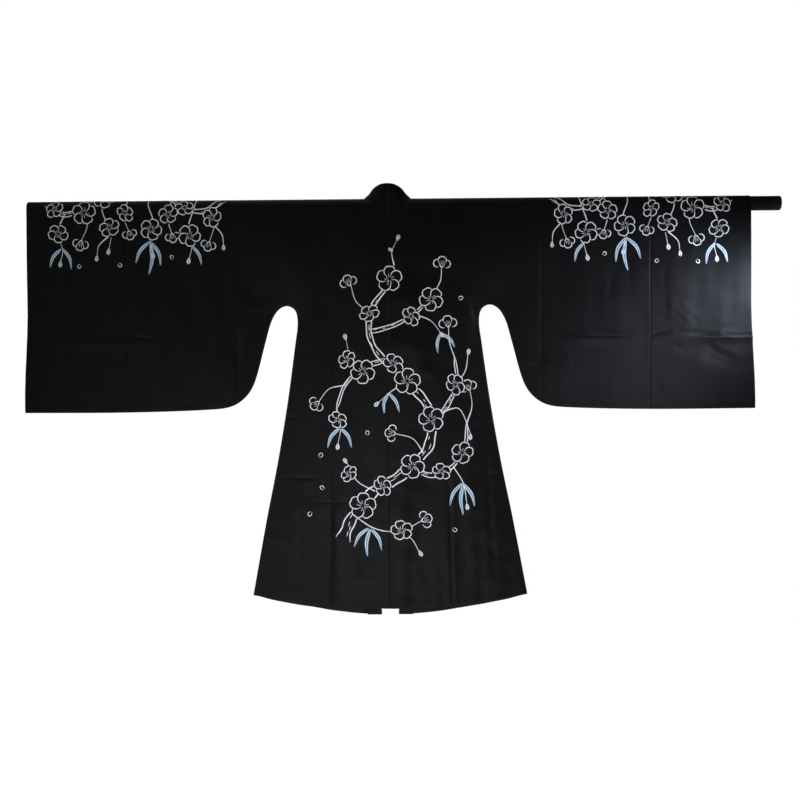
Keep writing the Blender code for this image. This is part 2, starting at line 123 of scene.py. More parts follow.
def smooth_line(stops, spacing=None, steps=None):
    """A smooth line through the stops, with points a spacing apart or so many steps to each stretch."""
    stops = np.asarray(stops, float)
    lengths = np.linalg.norm(np.diff(stops, axis=0), axis=1)
    slopes = np.empty_like(stops)
    slopes[0] = (stops[1] - stops[0]) / lengths[0]
    slopes[-1] = (stops[-1] - stops[-2]) / lengths[-1]
    slopes[1:-1] = (stops[2:] - stops[:-2]) / (lengths[:-1] + lengths[1:])[:, None]
    line = []
    for i, length in enumerate(lengths):
        count = steps or max(2, math.ceil(length / spacing))
        t = np.linspace(0.0, 1.0, count, endpoint=False)[:, None]
        here = stops[i] * (2 * t**3 - 3 * t**2 + 1) + stops[i + 1] * (3 * t**2 - 2 * t**3)
        bend = slopes[i] * (t**3 - 2 * t**2 + t) + slopes[i + 1] * (t**3 - t**2)
        line.append(here + bend * length)
    return np.concatenate(line + [stops[-1:]])


def way_along(path):
    """How far along a path each of its points is."""
    return np.append(0.0, np.cumsum(np.linalg.norm(np.diff(path, axis=0), axis=1)))


def unit(ways):
    """Directions of length 1."""
    return ways / np.maximum(np.linalg.norm(ways, axis=1), TINY)[:, None]


def off_line(places, line):
    """How far each place is from a line of points."""
    nearest = np.full(len(places), np.inf)
    for start, end in zip(line[:-1], line[1:]):
        step = end - start
        share = np.clip((places - start) @ step / (step @ step), 0.0, 1.0)
        nearest = np.minimum(nearest, np.linalg.norm(places - start - share[:, None] * step, axis=1))
    return nearest

print("a smooth step in quarters:", ease(np.linspace(0, 1, 5), 0, 1).round(3).tolist())

# %% [markdown]
# ## The cut
#
# A place on the cloth is a pair: how far it is across from the centre, and its run from the top of the rod,
# below 0 down the back and above 0 down the front. The back and the front of one half are joined along its
# closed edge: up the side seam, round the underarm and out along the foot of the sleeve. The table gives
# that edge from the hem to the cuff. The hems hang in a shallow curve, and the front is a little longer.

# %% The closed edge, the hems and the cuff
ClosedEdge = namedtuple("ClosedEdge", "across height")
CLOSED_EDGE = (
    ClosedEdge(0.3840, -1.0860),
    ClosedEdge(0.3460, -0.8800),
    ClosedEdge(0.3130, -0.7150),
    ClosedEdge(0.2840, -0.5460),
    ClosedEdge(0.2610, -0.3800),
    ClosedEdge(0.2545, -0.3250),
    ClosedEdge(0.2610, -0.2900),
    ClosedEdge(0.2835, -0.2770),
    ClosedEdge(0.3080, -0.2880),
    ClosedEdge(0.3277, -0.3200),
    ClosedEdge(0.3441, -0.3760),
    ClosedEdge(0.3751, -0.4880),
    ClosedEdge(0.4000, -0.5300),
    ClosedEdge(0.4400, -0.5570),
    ClosedEdge(0.5000, -0.5660),
    ClosedEdge(0.7300, -0.5725),
    ClosedEdge(1.0220, -0.5720),
)
EDGE_BEND = 0.003
HEM_HALF, HEM_SIDE = CLOSED_EDGE[0]
BACK_HEM = -1.122
HEM_CURVE = 1.85
CUFF_TOP = 1.009
CUFF_STRAIGHT = 0.270
POINT_STEP = 0.0065


def closed_edge_line():
    """The closed edge's line inside its bend, and the outward direction at each of its points."""
    line = smooth_line(CLOSED_EDGE, POINT_STEP)
    along = np.gradient(line, axis=0)
    outward = unit(np.stack([along[:, 1], -along[:, 0]], 1))
    return line - outward * (EDGE_BEND + CLOTH / 2), outward


EDGE_LINE, EDGE_OUT = closed_edge_line()
EDGE_COARSE = EDGE_LINE[::4]
FOOT_FROM = int(np.argmax(EDGE_LINE[:, 0] > HEM_HALF + 0.06))


def edge_distance(across, height):
    """How far places on the cloth are from the closed edge of their half."""
    return off_line(np.stack([np.abs(across), height], 1), EDGE_COARSE)


def sleeve_foot(across):
    """The height of the closed edge along the sleeve's foot."""
    return np.interp(across, EDGE_LINE[FOOT_FROM:, 0], EDGE_LINE[FOOT_FROM:, 1])


def hem_height(across, low):
    """The height of a hem, from its lowest height at the centre."""
    return low + (HEM_SIDE - low) * (np.abs(across) / HEM_HALF) ** HEM_CURVE


def cuff_across(run):
    """How far out the cuff's edge is. It leans out a little towards its foot."""
    height = QUARTER - np.abs(run)
    return CUFF_TOP + (CUFF_FOOT - CUFF_TOP) * ease(-height, CUFF_STRAIGHT, -CLOSED_EDGE[-1].height)


print(f"closed edge: {len(EDGE_LINE)} points, sleeve foot at the seam {sleeve_foot(SLEEVE_SEAM):.4f} m")

# %% [markdown]
# ## Folds and packing creases
#
# Hung cloth is never a flat plate. This cloak shows three things: long soft folds that fall from the
# shoulders, pressed creases where it lay folded in its packet, and small drag lines that run from the
# underarm and from the places where two creases meet. Cloth simulation would invent its own folds, so these
# are listed, each as one row, in millimetres. A depth above 0 stands out from the cloak. The first
# table holds the large folds, which the frame's solids have too, and the second one the finer folds and
# creases that only this surface shows. No crease in cloth is ruled straight, so each one wanders a little
# to its sides and is deeper in some places.

# %% The large folds
Fold = namedtuple("Fold", "across height to_across to_height width depth wall kind end",
                  defaults=("back", "soft", "fades"))


def in_metres(count, rows):
    """Rows of a table, in metres. Their first columns, as many as count, were in millimetres."""
    names = rows[0]._fields[:count]
    return [row._replace(**{name: np.divide(getattr(row, name), 1000) for name in names}) for row in rows]


def crease(*row, wall="back", end="open"):
    """A fold that was pressed into the cloth."""
    return Fold(*row, wall, "pressed", end)


LARGE_FOLDS = in_metres(6, (
    crease(-153, -700, -160, -1130, 30, -4),
    crease(160, -860, 168, -1130, 30, 4.5),
    Fold(20, -720, 12, -1150, 60, 6, end="open"),
    Fold(85, -560, 110, -860, 45, -4),
    Fold(-80, -860, -75, -1150, 45, -3.5, end="open"),
    Fold(-260, -780, -300, -1110, 50, 4, end="open"),
    Fold(270, -760, 300, -1110, 50, 4, end="open"),
    Fold(40, -350, 175, -600, 40, 4),
    Fold(190, -220, 235, -380, 30, 3.5),
    Fold(75, -40, 80, -300, 40, -3.5),
    Fold(10, -40, -75, -130, 26, 3),
    crease(420, -375, 1020, -372, 26, 4.5),
    Fold(770, -395, 930, -500, 34, 2),
    Fold(860, -385, 985, -470, 34, -1.8),
    Fold(760, -270, 860, -360, 34, 1.8),
    Fold(420, -430, 500, -520, 30, 3.5),
    crease(-1000, -378, -640, -380, 26, 3, end="fades"),
    crease(-420, -330, -420, -520, 26, -3, end="fades"),
    Fold(-200, -620, -215, -1150, 50, 5.5, "front", "soft", "open"),
    Fold(185, -560, 205, -1150, 55, 6, "front", "soft", "open"),
    Fold(-125, -300, -130, -760, 45, -4, "front"),
    Fold(120, -340, 112, -780, 45, -4, "front"),
    Fold(-300, -800, -330, -1110, 40, -3.5, "front", "soft", "open"),
    Fold(290, -820, 325, -1110, 40, -3.5, "front", "soft", "open"),
    Fold(210, -230, 150, -420, 35, 3.5, "front"),
    Fold(-210, -230, -160, -400, 35, 3.5, "front"),
    crease(-440, -374, -1020, -376, 26, 4, wall="front"),
    crease(440, -376, 1020, -374, 26, 3.5, wall="front"),
    Fold(760, -400, 900, -500, 34, -4, "front"),
    Fold(-760, -400, -920, -490, 34, 4, "front"),
    Fold(-800, -140, -700, -320, 40, 3.5, "front"),
))

# %% [markdown]
# ## The fine creases
#
# Pressed creases are the sharp lines that a garment keeps from its packet, and drag lines are the small
# pulls between them. A texture could draw them, but only relief in the cloth itself catches the light as
# the real ones do, so each of them is one row too.

# %% The fine creases
FINE_CREASES = in_metres(6, (
    crease(428, -40, 428, -556, 7, -1.3),
    crease(-420, -300, -421, -540, 7, -1.6),
    crease(-153, -300, -153, -720, 8, -0.7),
    crease(-153, -660, -160, -1140, 8, -3.2),
    crease(-140, -700, -147, -1140, 12, 1.6),
    crease(165, -690, 172, -1140, 8, -3),
    crease(178, -720, 185, -1140, 12, 1.6),
    crease(-312, -757, -190, -760, 7, -2.2, end="fades"),
    crease(262, -752, 322, -750, 7, -1.8),
    crease(-216, -826, -104, -826, 10, -1.3, end="fades"),
    Fold(214, -590, 283, -622, 12, 1.9),
    crease(-300, -588, -240, -588, 8, -1.4, end="fades"),
    Fold(-130, -1040, 36, -1046, 14, 1.6),
    Fold(-14, -760, -6, -1120, 16, 3.1),
    Fold(88, -820, 100, -1110, 24, -2.4),
    Fold(106, -430, 168, -560, 16, 2.2),
    Fold(218, -266, 255, -364, 12, 2.2),
    Fold(236, -290, 262, -420, 10, -1.9),
    Fold(-215, -280, -250, -420, 14, 1.6),
    crease(18, -12, -74, -122, 12, -3, end="fades"),
    Fold(50, -20, 60, -520, 200, 7.5),
    Fold(54, -10, 58, -400, 55, 3.2),
    Fold(108, -300, 112, -560, 30, -2.5),
    Fold(120, -620, 128, -820, 18, 1.9),
    Fold(-246, -820, -262, -1100, 16, -3.1),
    Fold(268, -600, 292, -1100, 15, -3.1),
    Fold(36, -640, 40, -1150, 26, 2.5, end="open"),
    Fold(-40, -700, -48, -1000, 22, -2.2),
    Fold(-100, -740, -104, -1060, 24, 2.2),
    Fold(-286, -900, -300, -1110, 14, -2.2, end="open"),
    Fold(-210, -560, -222, -900, 22, -2),
    Fold(220, -640, 236, -1120, 24, 2.2, end="open"),
    Fold(128, -980, 134, -1150, 16, 1.9, end="open"),
    crease(520, -366, 728, -372, 7, -2),
    crease(732, -366, 785, -352, 7, -2.2),
    crease(785, -352, 925, -366, 7, -3.4),
    crease(925, -366, 1020, -368, 7, -2.6),
    crease(850, -372, 1020, -378, 9, 1.6),
    Fold(770, -250, 779, -315, 12, -1.2),
    Fold(774, -290, 846, -345, 8, -1.2),
    Fold(800, -262, 880, -336, 10, 0.8),
    Fold(776, -380, 836, -424, 8, -1.3),
    Fold(796, -372, 864, -424, 9, 0.9),
    Fold(862, -380, 976, -450, 8, -1.6),
    Fold(880, -372, 996, -440, 9, 1.1),
    Fold(890, -430, 948, -470, 9, 0.5),
    Fold(740, -500, 790, -570, 9, -1.6, end="open"),
    Fold(756, -494, 812, -570, 10, 1.1, end="open"),
    Fold(390, -450, 438, -458, 12, -1.6),
    Fold(434, -452, 500, -514, 10, -1.6),
    Fold(446, -438, 510, -500, 12, 1.4),
    Fold(672, -168, 674, -232, 9, -1.2),
    Fold(616, -190, 624, -270, 14, -1.2),
    Fold(768, -170, 770, -250, 8, -1),
    Fold(500, -400, 503, -480, 10, 1),
    Fold(620, -480, 624, -560, 10, 1),
    Fold(834, -450, 838, -545, 8, 0.9),
    Fold(556, -385, 574, -425, 9, -1),
    crease(-728, -360, -640, -366, 7, -2, end="fades"),
    crease(-732, -366, -900, -368, 7, -1.2, end="fades"),
    Fold(-640, -366, -620, -392, 10, -1),
    Fold(-500, -430, -498, -545, 11, 1.2),
    Fold(-535, -420, -532, -550, 12, -1),
    Fold(-420, -270, -330, -290, 12, 1.2),
    Fold(-400, -240, -330, -262, 14, -1.2),
    Fold(-900, -430, -862, -540, 13, 1),
    crease(428, -60, 428, -556, 7, -1, wall="front"),
    crease(-428, -60, -428, -556, 7, -1, wall="front"),
    crease(190, -500, 200, -1140, 10, -1.3, wall="front"),
    crease(-200, -540, -210, -1140, 10, -1.3, wall="front"),
    crease(70, -758, 320, -756, 9, -1, wall="front"),
    crease(-70, -758, -320, -756, 9, -1, wall="front"),
    crease(620, -368, 1020, -374, 8, -1.4, wall="front"),
    crease(-560, -366, -1020, -372, 8, -1.4, wall="front"),
    Fold(-780, -390, -850, -440, 12, 1.8, "front"),
    Fold(-840, -384, -940, -450, 12, -2.2, "front"),
    Fold(780, -388, 860, -440, 12, -2, "front"),
    Fold(800, -384, 900, -440, 12, 1.6, "front"),
    Fold(240, -270, 200, -400, 13, 1.5, "front"),
    Fold(-240, -270, -190, -420, 13, 1.5, "front"),
    Fold(440, -440, 510, -510, 13, -1.8, "front"),
    Fold(-440, -440, -500, -520, 13, -1.8, "front"),
    Fold(150, -900, 160, -1110, 18, 1.2, "front"),
    Fold(-160, -860, -170, -1110, 18, 1.2, "front"),
))
print(len(LARGE_FOLDS), "large folds and", len(FINE_CREASES), "fine creases")

# %% [markdown]
# ## How the cloth hangs
#
# One function says where any place on the flat cloth hangs. Over the rod the cloth follows a circle, and
# the back of the neck stands straight up off it. Below the rod the two walls hang down, nearly as far apart
# as the rod is thick at first, and come together towards the closed edge. The folds move a wall out or in,
# and fade where the walls are sewn together and where they leave the rod. A slow ripple keeps the plain
# areas from looking ironed.

# %% Folds as a depth
FOLD_ENDS = 0.3
PRESSED_POWER = 1.5
WANDER, WANDER_LENGTH = {"pressed": 0.0007, "soft": 0.0022}, 0.064
UNEVEN, UNEVEN_LENGTH = 0.20, 0.130
WANDER_SHIFT, UNEVEN_SHIFT = 70, 50


def wander(fold, along):
    """How far a crease wanders to its side at distances along it."""
    way = along * 2 * math.pi / WANDER_LENGTH + fold.height * WANDER_SHIFT
    return WANDER[fold.kind] * (np.sin(way) + 0.5 * np.sin(2.3 * way))


def fold_depth(folds, run, across, height):
    """How far a table of folds moves the cloth out at each place."""
    depth = np.zeros(len(across))
    places = np.stack([across, height], 1)
    for fold in folds:
        on_wall = run > 0 if fold.wall == "front" else run < 0
        start = np.array([fold.across, fold.height])
        step = np.array([fold.to_across, fold.to_height]) - start
        length = np.linalg.norm(step)
        along = (places - start) @ step / length
        past = along - np.clip(along, 0.0, length)
        aside = (places - start) @ np.array([-step[1], step[0]]) / length - wander(fold, along)
        share = np.minimum(1.0, np.hypot(aside, past) / fold.width)
        shape = (1 - share) ** PRESSED_POWER if fold.kind == "pressed" else (1 - share**2) ** 2
        way = along * 2 * math.pi / UNEVEN_LENGTH + fold.across * UNEVEN_SHIFT
        uneven = 1 + UNEVEN * np.sin(way)
        along = np.clip(along / length, 0.0, 1.0)
        fall = 1.0 if fold.end == "open" else ease(1 - along, 0.0, FOLD_ENDS)
        shape = shape * uneven * ease(along, 0.0, FOLD_ENDS) * fall
        depth += np.where(on_wall, fold.depth * shape, 0.0)
    return depth


deepest = max(abs(fold.depth) for fold in LARGE_FOLDS)
print(f"deepest large fold {deepest * 1000:.1f} mm")

# %% [markdown]
# ## A slow ripple
#
# Even pressed cloth isn't flat between its folds. A noise would wobble it alike everywhere, so a few long
# waves, each a little askew, move it by a millimetre or two.

# %% A slow ripple
Wave = namedtuple("Wave", "length lean depth shift")
WAVES = (
    Wave(0.210, 1.35, 0.0008, 0.4),
    Wave(0.137, 1.75, 0.0005, 2.1),
    Wave(0.091, 1.30, 0.0004, 4.4),
    Wave(0.063, 0.30, 0.0002, 1.3),
    Wave(0.047, 1.62, 0.0002, 3.2),
)
WAVE_BEND, WAVE_BEND_TURN, WALL_SHIFT = 0.35, 9, 1.7


def ripple(across, height, run):
    """A slow, uneven ripple, as a depth. Lean is the way each wave runs, in radians from across to down."""
    depth = np.zeros(len(across))
    for wave in WAVES:
        way = across * math.sin(wave.lean) + height * math.cos(wave.lean)
        bend = WAVE_BEND * np.sin(height * WAVE_BEND_TURN + wave.shift * 2)
        turn = way * 2 * math.pi / wave.length + wave.shift + bend + WALL_SHIFT * np.sign(run)
        depth += wave.depth * np.sin(turn)
    return depth


print(f"ripple up to {sum(wave.depth for wave in WAVES) * 1000:.1f} mm")

# %% [markdown]
# ## Where the cloth hangs
#
# A cloth simulation would find a form by itself, but not the one that the frame's solids have. So the form
# is worked out: a circle over the rod, then two walls, with the folds and the ripple added.

# %% Where the cloth hangs
BODY_REACH, SLEEVE_REACH = 0.22, 0.60
REACH_FROM, REACH_TO = 0.22, 0.50
TOP_REACH = 0.25
FADE_AT_EDGE, FADE_AT_ROD = 0.040, 0.060
FINE_AT_EDGE, FINE_AT_ROD = 0.012, 0.022
NECK_BACK = -QUARTER + 0.0224
NECK_STANDS = 0.35 * NECK_HALF


def half_gap(across, height, from_edge):
    """Half of the distance between the back and the front wall, without their folds."""
    reach = BODY_REACH + (SLEEVE_REACH - BODY_REACH) * ease(np.abs(across), REACH_FROM, REACH_TO)
    share = np.minimum(1.0, from_edge / reach)
    hanging = EDGE_BEND + (WRAP - EDGE_BEND) * share * (2 - share)
    return hanging + (WRAP - hanging) * ease(height, -TOP_REACH, 0.0)


def hang(across, run):
    """Where places on the flat cloth hang, as an array of points."""
    angle = np.clip(run / WRAP, -math.pi / 2, math.pi / 2)
    hanging = np.abs(run) > QUARTER
    height = np.where(hanging, QUARTER - np.abs(run), WRAP * np.cos(angle))
    from_edge = edge_distance(across, height)
    at_rod = ease(-height, 0.0, FADE_AT_ROD)
    out = half_gap(across, height, from_edge)
    out += fold_depth(LARGE_FOLDS, run, across, height) * ease(from_edge, 0.0, FADE_AT_EDGE) * at_rod
    fine = fold_depth(FINE_CREASES, run, across, height) + ripple(across, height, run)
    out += fine * ease(from_edge, 0.0, FINE_AT_EDGE) * ease(-height, 0.0, FINE_AT_ROD)
    upright = np.where((run < 0) & ~hanging, 1 - ease(np.abs(across), NECK_STANDS, NECK_HALF), 0.0)
    level = np.where(hanging, np.sign(run) * out, WRAP * np.sin(angle) * (1 - upright) - WRAP * upright)
    height = np.where(hanging, height, height * (1 - upright) + (run + QUARTER) * upright)
    return np.stack([across, level, height], 1)


NUDGE = 0.0008


def laid(across, run, lift):
    """Places on the outside of the cloth, lifted off it."""
    slope_across = hang(across + NUDGE, run) - hang(across - NUDGE, run)
    slope_run = hang(across, run + NUDGE) - hang(across, run - NUDGE)
    outward = unit(np.cross(slope_across, slope_run))
    return hang(across, run) + outward * (CLOTH / 2 + np.asarray(lift))[:, None]


middle = hang(np.array([0.1, 0.1]), np.array([-0.6, 0.6]))
print(f"walls {middle[1, 1] - middle[0, 1]:.3f} m apart at the middle of the back")

# %% [markdown]
# ## Seams and hems as relief
#
# A seam shows as a thin groove, because the cloth rolls in where the stitches pull, with a low ridge beside
# it from the allowance that is pressed to one side underneath. The centre back is pressed so flat that it
# hardly shows, nor do the sleeve seams, while the thick seam of the neckband lies deeper. A hem is cloth
# turned up twice and stitched, so it is thicker and dips a little along its stitching, with small puckers
# between stitches.

# %% Seam and hem relief
SEAM_DEPTH, SEAM_HALF = 0.0012, 0.0026
FLAT_SEAM, BAND_SEAM_SHARE = 0.3, 0.55
ALLOWANCE, ALLOWANCE_RISE = 0.012, 0.0003
HEM_WIDTH, HEM_RISE, HEM_DIP = 0.020, 0.0001, 0.0002
PUCKER, PUCKER_LENGTH = 0.00025, 0.017
DIP_HALF, PUCKER_HALF = 0.0016, 0.009
SMALL_PUCKER, SMALL_TURN, SMALL_SHIFT = 0.6, 8.9, 1.2
SOFT_EDGE = 0.001
THIN, HEM_EXTRA, SEAM_EXTRA = 0.0008, 0.0006, 0.0003


def seam_relief(off, share=1.0):
    """The height of the cloth beside a seam, or a share of it beside a flatter one."""
    groove = -SEAM_DEPTH * (1 - ease(off, 0.0, SEAM_HALF))
    past = ease(off, ALLOWANCE, ALLOWANCE + 2 * SOFT_EDGE)
    ridge = ALLOWANCE_RISE * ease(off, SEAM_HALF / 2, SEAM_HALF) * (1 - past)
    return (groove + ridge) * share


def hem_relief(off, along):
    """The height of the cloth of a hem, from its edge up. Along is how far along the edge a place is."""
    raised = HEM_RISE * ease(off, 0.0, 2 * SOFT_EDGE) * within(off, HEM_WIDTH)
    way = along / PUCKER_LENGTH
    waves = np.sin(way * 2 * math.pi) + SMALL_PUCKER * np.sin(way * SMALL_TURN + SMALL_SHIFT)
    puckers = PUCKER * waves * near(off, HEM_WIDTH, PUCKER_HALF)
    return raised - HEM_DIP * near(off, HEM_WIDTH, DIP_HALF) + puckers


def within(off, width):
    """1 from an edge to a width from it, and 0 beyond."""
    return 1 - ease(off, width - SOFT_EDGE, width + SOFT_EDGE)


def near(off, line, half):
    """1 on a line at a distance from an edge, and a smooth fall to 0 on both of its sides."""
    return np.exp(-(((off - line) / half) ** 2))


print(f"a seam lies {-float(seam_relief(0.0)) * 1000:.1f} mm deep")

# %% [markdown]
# ## A piece of cloth as a mesh
#
# Each piece starts as an outline on the flat cloth. Points fill it: close rows over the rod, rows along the
# seams, hems and pressed creases, where the form changes fast, and an even staggered grid elsewhere.
# Blender's own triangulation joins them, and then every point goes where the cloth hangs. The shell gets an
# outside, an inside and a rounded rim, because a turned edge of cloth is never sharp. The flat places are
# kept as the UV map, in metres, so that the weave follows the cut as it does on real cloth.

# %% Points inside an outline
ROD_ROWS = np.linspace(-QUARTER, QUARTER, 21)
SEAM_ROWS = (0.0010, 0.0022, 0.0038, 0.0120, 0.0142)
HEM_ROWS = (0.0015, 0.0040, 0.0185, 0.0200, 0.0215)
CREASE_ROWS = (0.0, 0.0022, -0.0022, 0.0048, -0.0048)
CLEAR = 0.0042


def spread(start, end, spacing):
    """Evenly spread values from start up to, but not with, end."""
    return np.linspace(start, end, max(1, math.ceil(abs(end - start) / spacing)), endpoint=False)


def pairs(across, run):
    """Places from an array or a number each."""
    return np.stack(np.broadcast_arrays(np.asarray(across, float), np.asarray(run, float)), 1)


def inside(places, outline):
    """Which places are inside an outline."""
    within_it = np.zeros(len(places), bool)
    for a, b in zip(outline, np.roll(outline, -1, axis=0)):
        if a[1] != b[1]:
            spans = (a[1] > places[:, 1]) != (b[1] > places[:, 1])
            crossing = a[0] + (b[0] - a[0]) * (places[:, 1] - a[1]) / (b[1] - a[1])
            within_it ^= spans & (places[:, 0] < crossing)
    return within_it


def grid_places(outline):
    """A staggered grid over the outline's box, with close rows over the rod."""
    low, high = outline.min(axis=0), outline.max(axis=0)
    row_step = POINT_STEP * math.sqrt(3) / 2
    rows = np.concatenate([-spread(QUARTER + row_step, -low[1], row_step), ROD_ROWS])
    rows = np.concatenate([rows, spread(QUARTER + row_step, high[1], row_step)])
    columns = np.arange(low[0] + POINT_STEP / 2, high[0], POINT_STEP)
    grid = [pairs(columns + POINT_STEP / 4 * (-1) ** i, row) for i, row in enumerate(rows)]
    return np.concatenate(grid)


def fill(outline, rows):
    """The places inside an outline: the rows beside its seams and hems, and the grid clear of them."""
    rows = rows[inside(rows, outline)]
    fixed = np.concatenate([outline, rows])
    tree = KDTree(len(fixed))
    for i, place in enumerate(fixed):
        tree.insert((*place, 0.0), i)
    tree.balance()
    grid = grid_places(outline)
    grid = grid[inside(grid, outline)]
    clear = [tree.find((*place, 0.0))[2] > CLEAR for place in grid]
    return np.concatenate([fixed, grid[clear]])


def crease_rows(side):
    """Rows of places along the pressed creases of one side, which are too narrow for the grid."""
    rows = []
    for fold in FINE_CREASES:
        if fold.kind == "pressed":
            start = np.array([fold.across * side, fold.height])
            way = np.array([fold.to_across * side, fold.to_height]) - start
            length = np.linalg.norm(way)
            along = spread(0.0, length, POINT_STEP)[1:, None]
            aside = np.array([-way[1], way[0]]) / length * side
            facing = 1 if fold.wall == "front" else -1
            for offset in CREASE_ROWS:
                at = start + way * along / length + aside * (offset + wander(fold, along))
                rows.append(pairs(at[:, 0], facing * (QUARTER - at[:, 1])))
    return np.concatenate(rows)


print(len(crease_rows(1)), "places along the pressed creases")

# %% [markdown]
# ## A shell with a rounded rim
#
# Real cloth has two faces and a soft turned edge. A Solidify modifier would give it one thickness and
# square edges, so the faces and the rim are built here, which also lets a hem be thicker than the rest.

# %% The rim of a mesh
def face_normals(points, faces):
    """The normal of each vertex, from the faces round it."""
    a, b, c = (points[faces[:, i]] for i in range(3))
    flat = np.cross(b - a, c - a)
    normals = np.zeros_like(points)
    for i in range(3):
        np.add.at(normals, faces[:, i], flat)
    return normals


def rim_pairs(faces):
    """The directed edges that only one face has."""
    sides = {(a, b) for face in faces.tolist() for a, b in zip(face, face[1:] + face[:1])}
    return np.array(sorted((a, b) for a, b in sides if (b, a) not in sides))


two_triangles = np.array([[0, 1, 2], [0, 2, 3]])
print(len(rim_pairs(two_triangles)), "edges round two triangles")

# %% A shell with a rounded rim
RIM_ROUND = 0.45
SEAM_TOUCH = GAP / 2 + 0.00003
LEVEL_WITHIN = 1e-6


def shell(name, points, faces, maps, relief, thickness, level_at):
    """A piece of cloth with an outside, an inside and a rounded rim. Maps are the corners' flat places."""
    count = len(points)
    normals = face_normals(points, faces)
    level = np.zeros(count, bool)
    for x in level_at:
        level |= np.abs(np.abs(points[:, 0]) - x) < LEVEL_WITHIN
    normals[level, 0] = 0.0
    normals = unit(normals)
    outer = points + normals * (CLOTH / 2 + relief)[:, None]
    inner = outer - normals * thickness[:, None]
    rim = rim_pairs(faces)
    out = np.zeros_like(points)
    ways = np.cross(points[rim[:, 1]] - points[rim[:, 0]], normals[rim[:, 0]])
    np.add.at(out, rim[:, 0], ways)
    np.add.at(out, rim[:, 1], ways)
    length = np.maximum(np.linalg.norm(out, axis=1), TINY)
    out *= (np.where(level, SEAM_TOUCH, RIM_ROUND * thickness) / length)[:, None]
    edge = (outer + inner) / 2 + out
    on_rim = np.unique(rim)
    row = np.full(count, -1)
    row[on_rim] = 2 * count + np.arange(len(on_rim))
    everything = np.concatenate([outer, inner, edge[on_rim]])
    a, b = rim[:, 0], rim[:, 1]
    made = [*faces.tolist(), *(faces[:, ::-1] + count).tolist()]
    made += np.stack([b, a, row[a], row[b]], 1).tolist()
    made += np.stack([row[b], row[a], a + count, b + count], 1).tolist()
    corner = {}
    for face, places in zip(faces, maps):
        corner.update(zip(face.tolist(), places.tolist()))
    flat = [corner[i] for i in range(count)]
    corners = [*maps.reshape(-1, 2).tolist(), *maps[:, ::-1].reshape(-1, 2).tolist()]
    corners += [flat[i] for pair in rim for i in (pair[1], pair[0], pair[0], pair[1])] * 2
    return mesh_object(name, everything, made, corners)


def mesh_object(name, points, faces, corners):
    """A smooth mesh with its flat places as its UV map, in the scene."""
    mesh = bpy.data.meshes.new(name)
    mesh.from_pydata([tuple(point) for point in points], [], faces)
    mesh.uv_layers.new(name="Cloth")
    mesh.uv_layers["Cloth"].uv.foreach_set("vector", np.asarray(corners, np.float32).ravel())
    mesh.shade_smooth()
    made = bpy.data.objects.new(name, mesh)
    bpy.context.scene.collection.objects.link(made)
    return made


print(f"a rim reaches {RIM_ROUND * THIN * 1000:.2f} mm past its faces")

# %% [markdown]
# ## A hung piece
#
# The back and the front of a piece are one cloth, joined along its closed edge. Two sheets that meet would
# leave a knife's edge there, so a few rings of points carry the cloth round a narrow bend.

# %% The bend along a closed edge
BEND_STEPS = 8
SIDE_SEAM_DEPTH, SIDE_SEAM_TURN = 0.0006, 0.25


def bend_rings(places, outward, side):
    """The points between back and front along a closed edge, and their flat places on each wall."""
    angles = np.linspace(-math.pi / 2, math.pi / 2, BEND_STEPS + 1)
    radius = EDGE_BEND - SIDE_SEAM_DEPTH * near(angles, 0.0, SIDE_SEAM_TURN)
    reach = (radius * np.cos(angles))[None, :, None]
    at = places[:, None, :] + outward[:, None, :] * reach
    level = np.broadcast_to(radius * np.sin(angles), at.shape[:2])
    points = np.stack([at[:, :, 0] * side, level, at[:, :, 1]], 2)
    unrolled = (EDGE_BEND * (math.pi / 2 - np.abs(angles)))[None, :, None]
    cloth = places[:, None, :] + outward[:, None, :] * unrolled
    back = np.stack([cloth[:, :, 0] * side, cloth[:, :, 1] - QUARTER], 2)
    front = np.stack([cloth[:, :, 0] * side, QUARTER - cloth[:, :, 1]], 2)
    return points, back, front


print(f"the bend takes {math.pi * EDGE_BEND * 1000:.1f} mm of cloth, in {BEND_STEPS} steps")

# %% A hung piece from its outline
SAME_PLACE = 1e-7


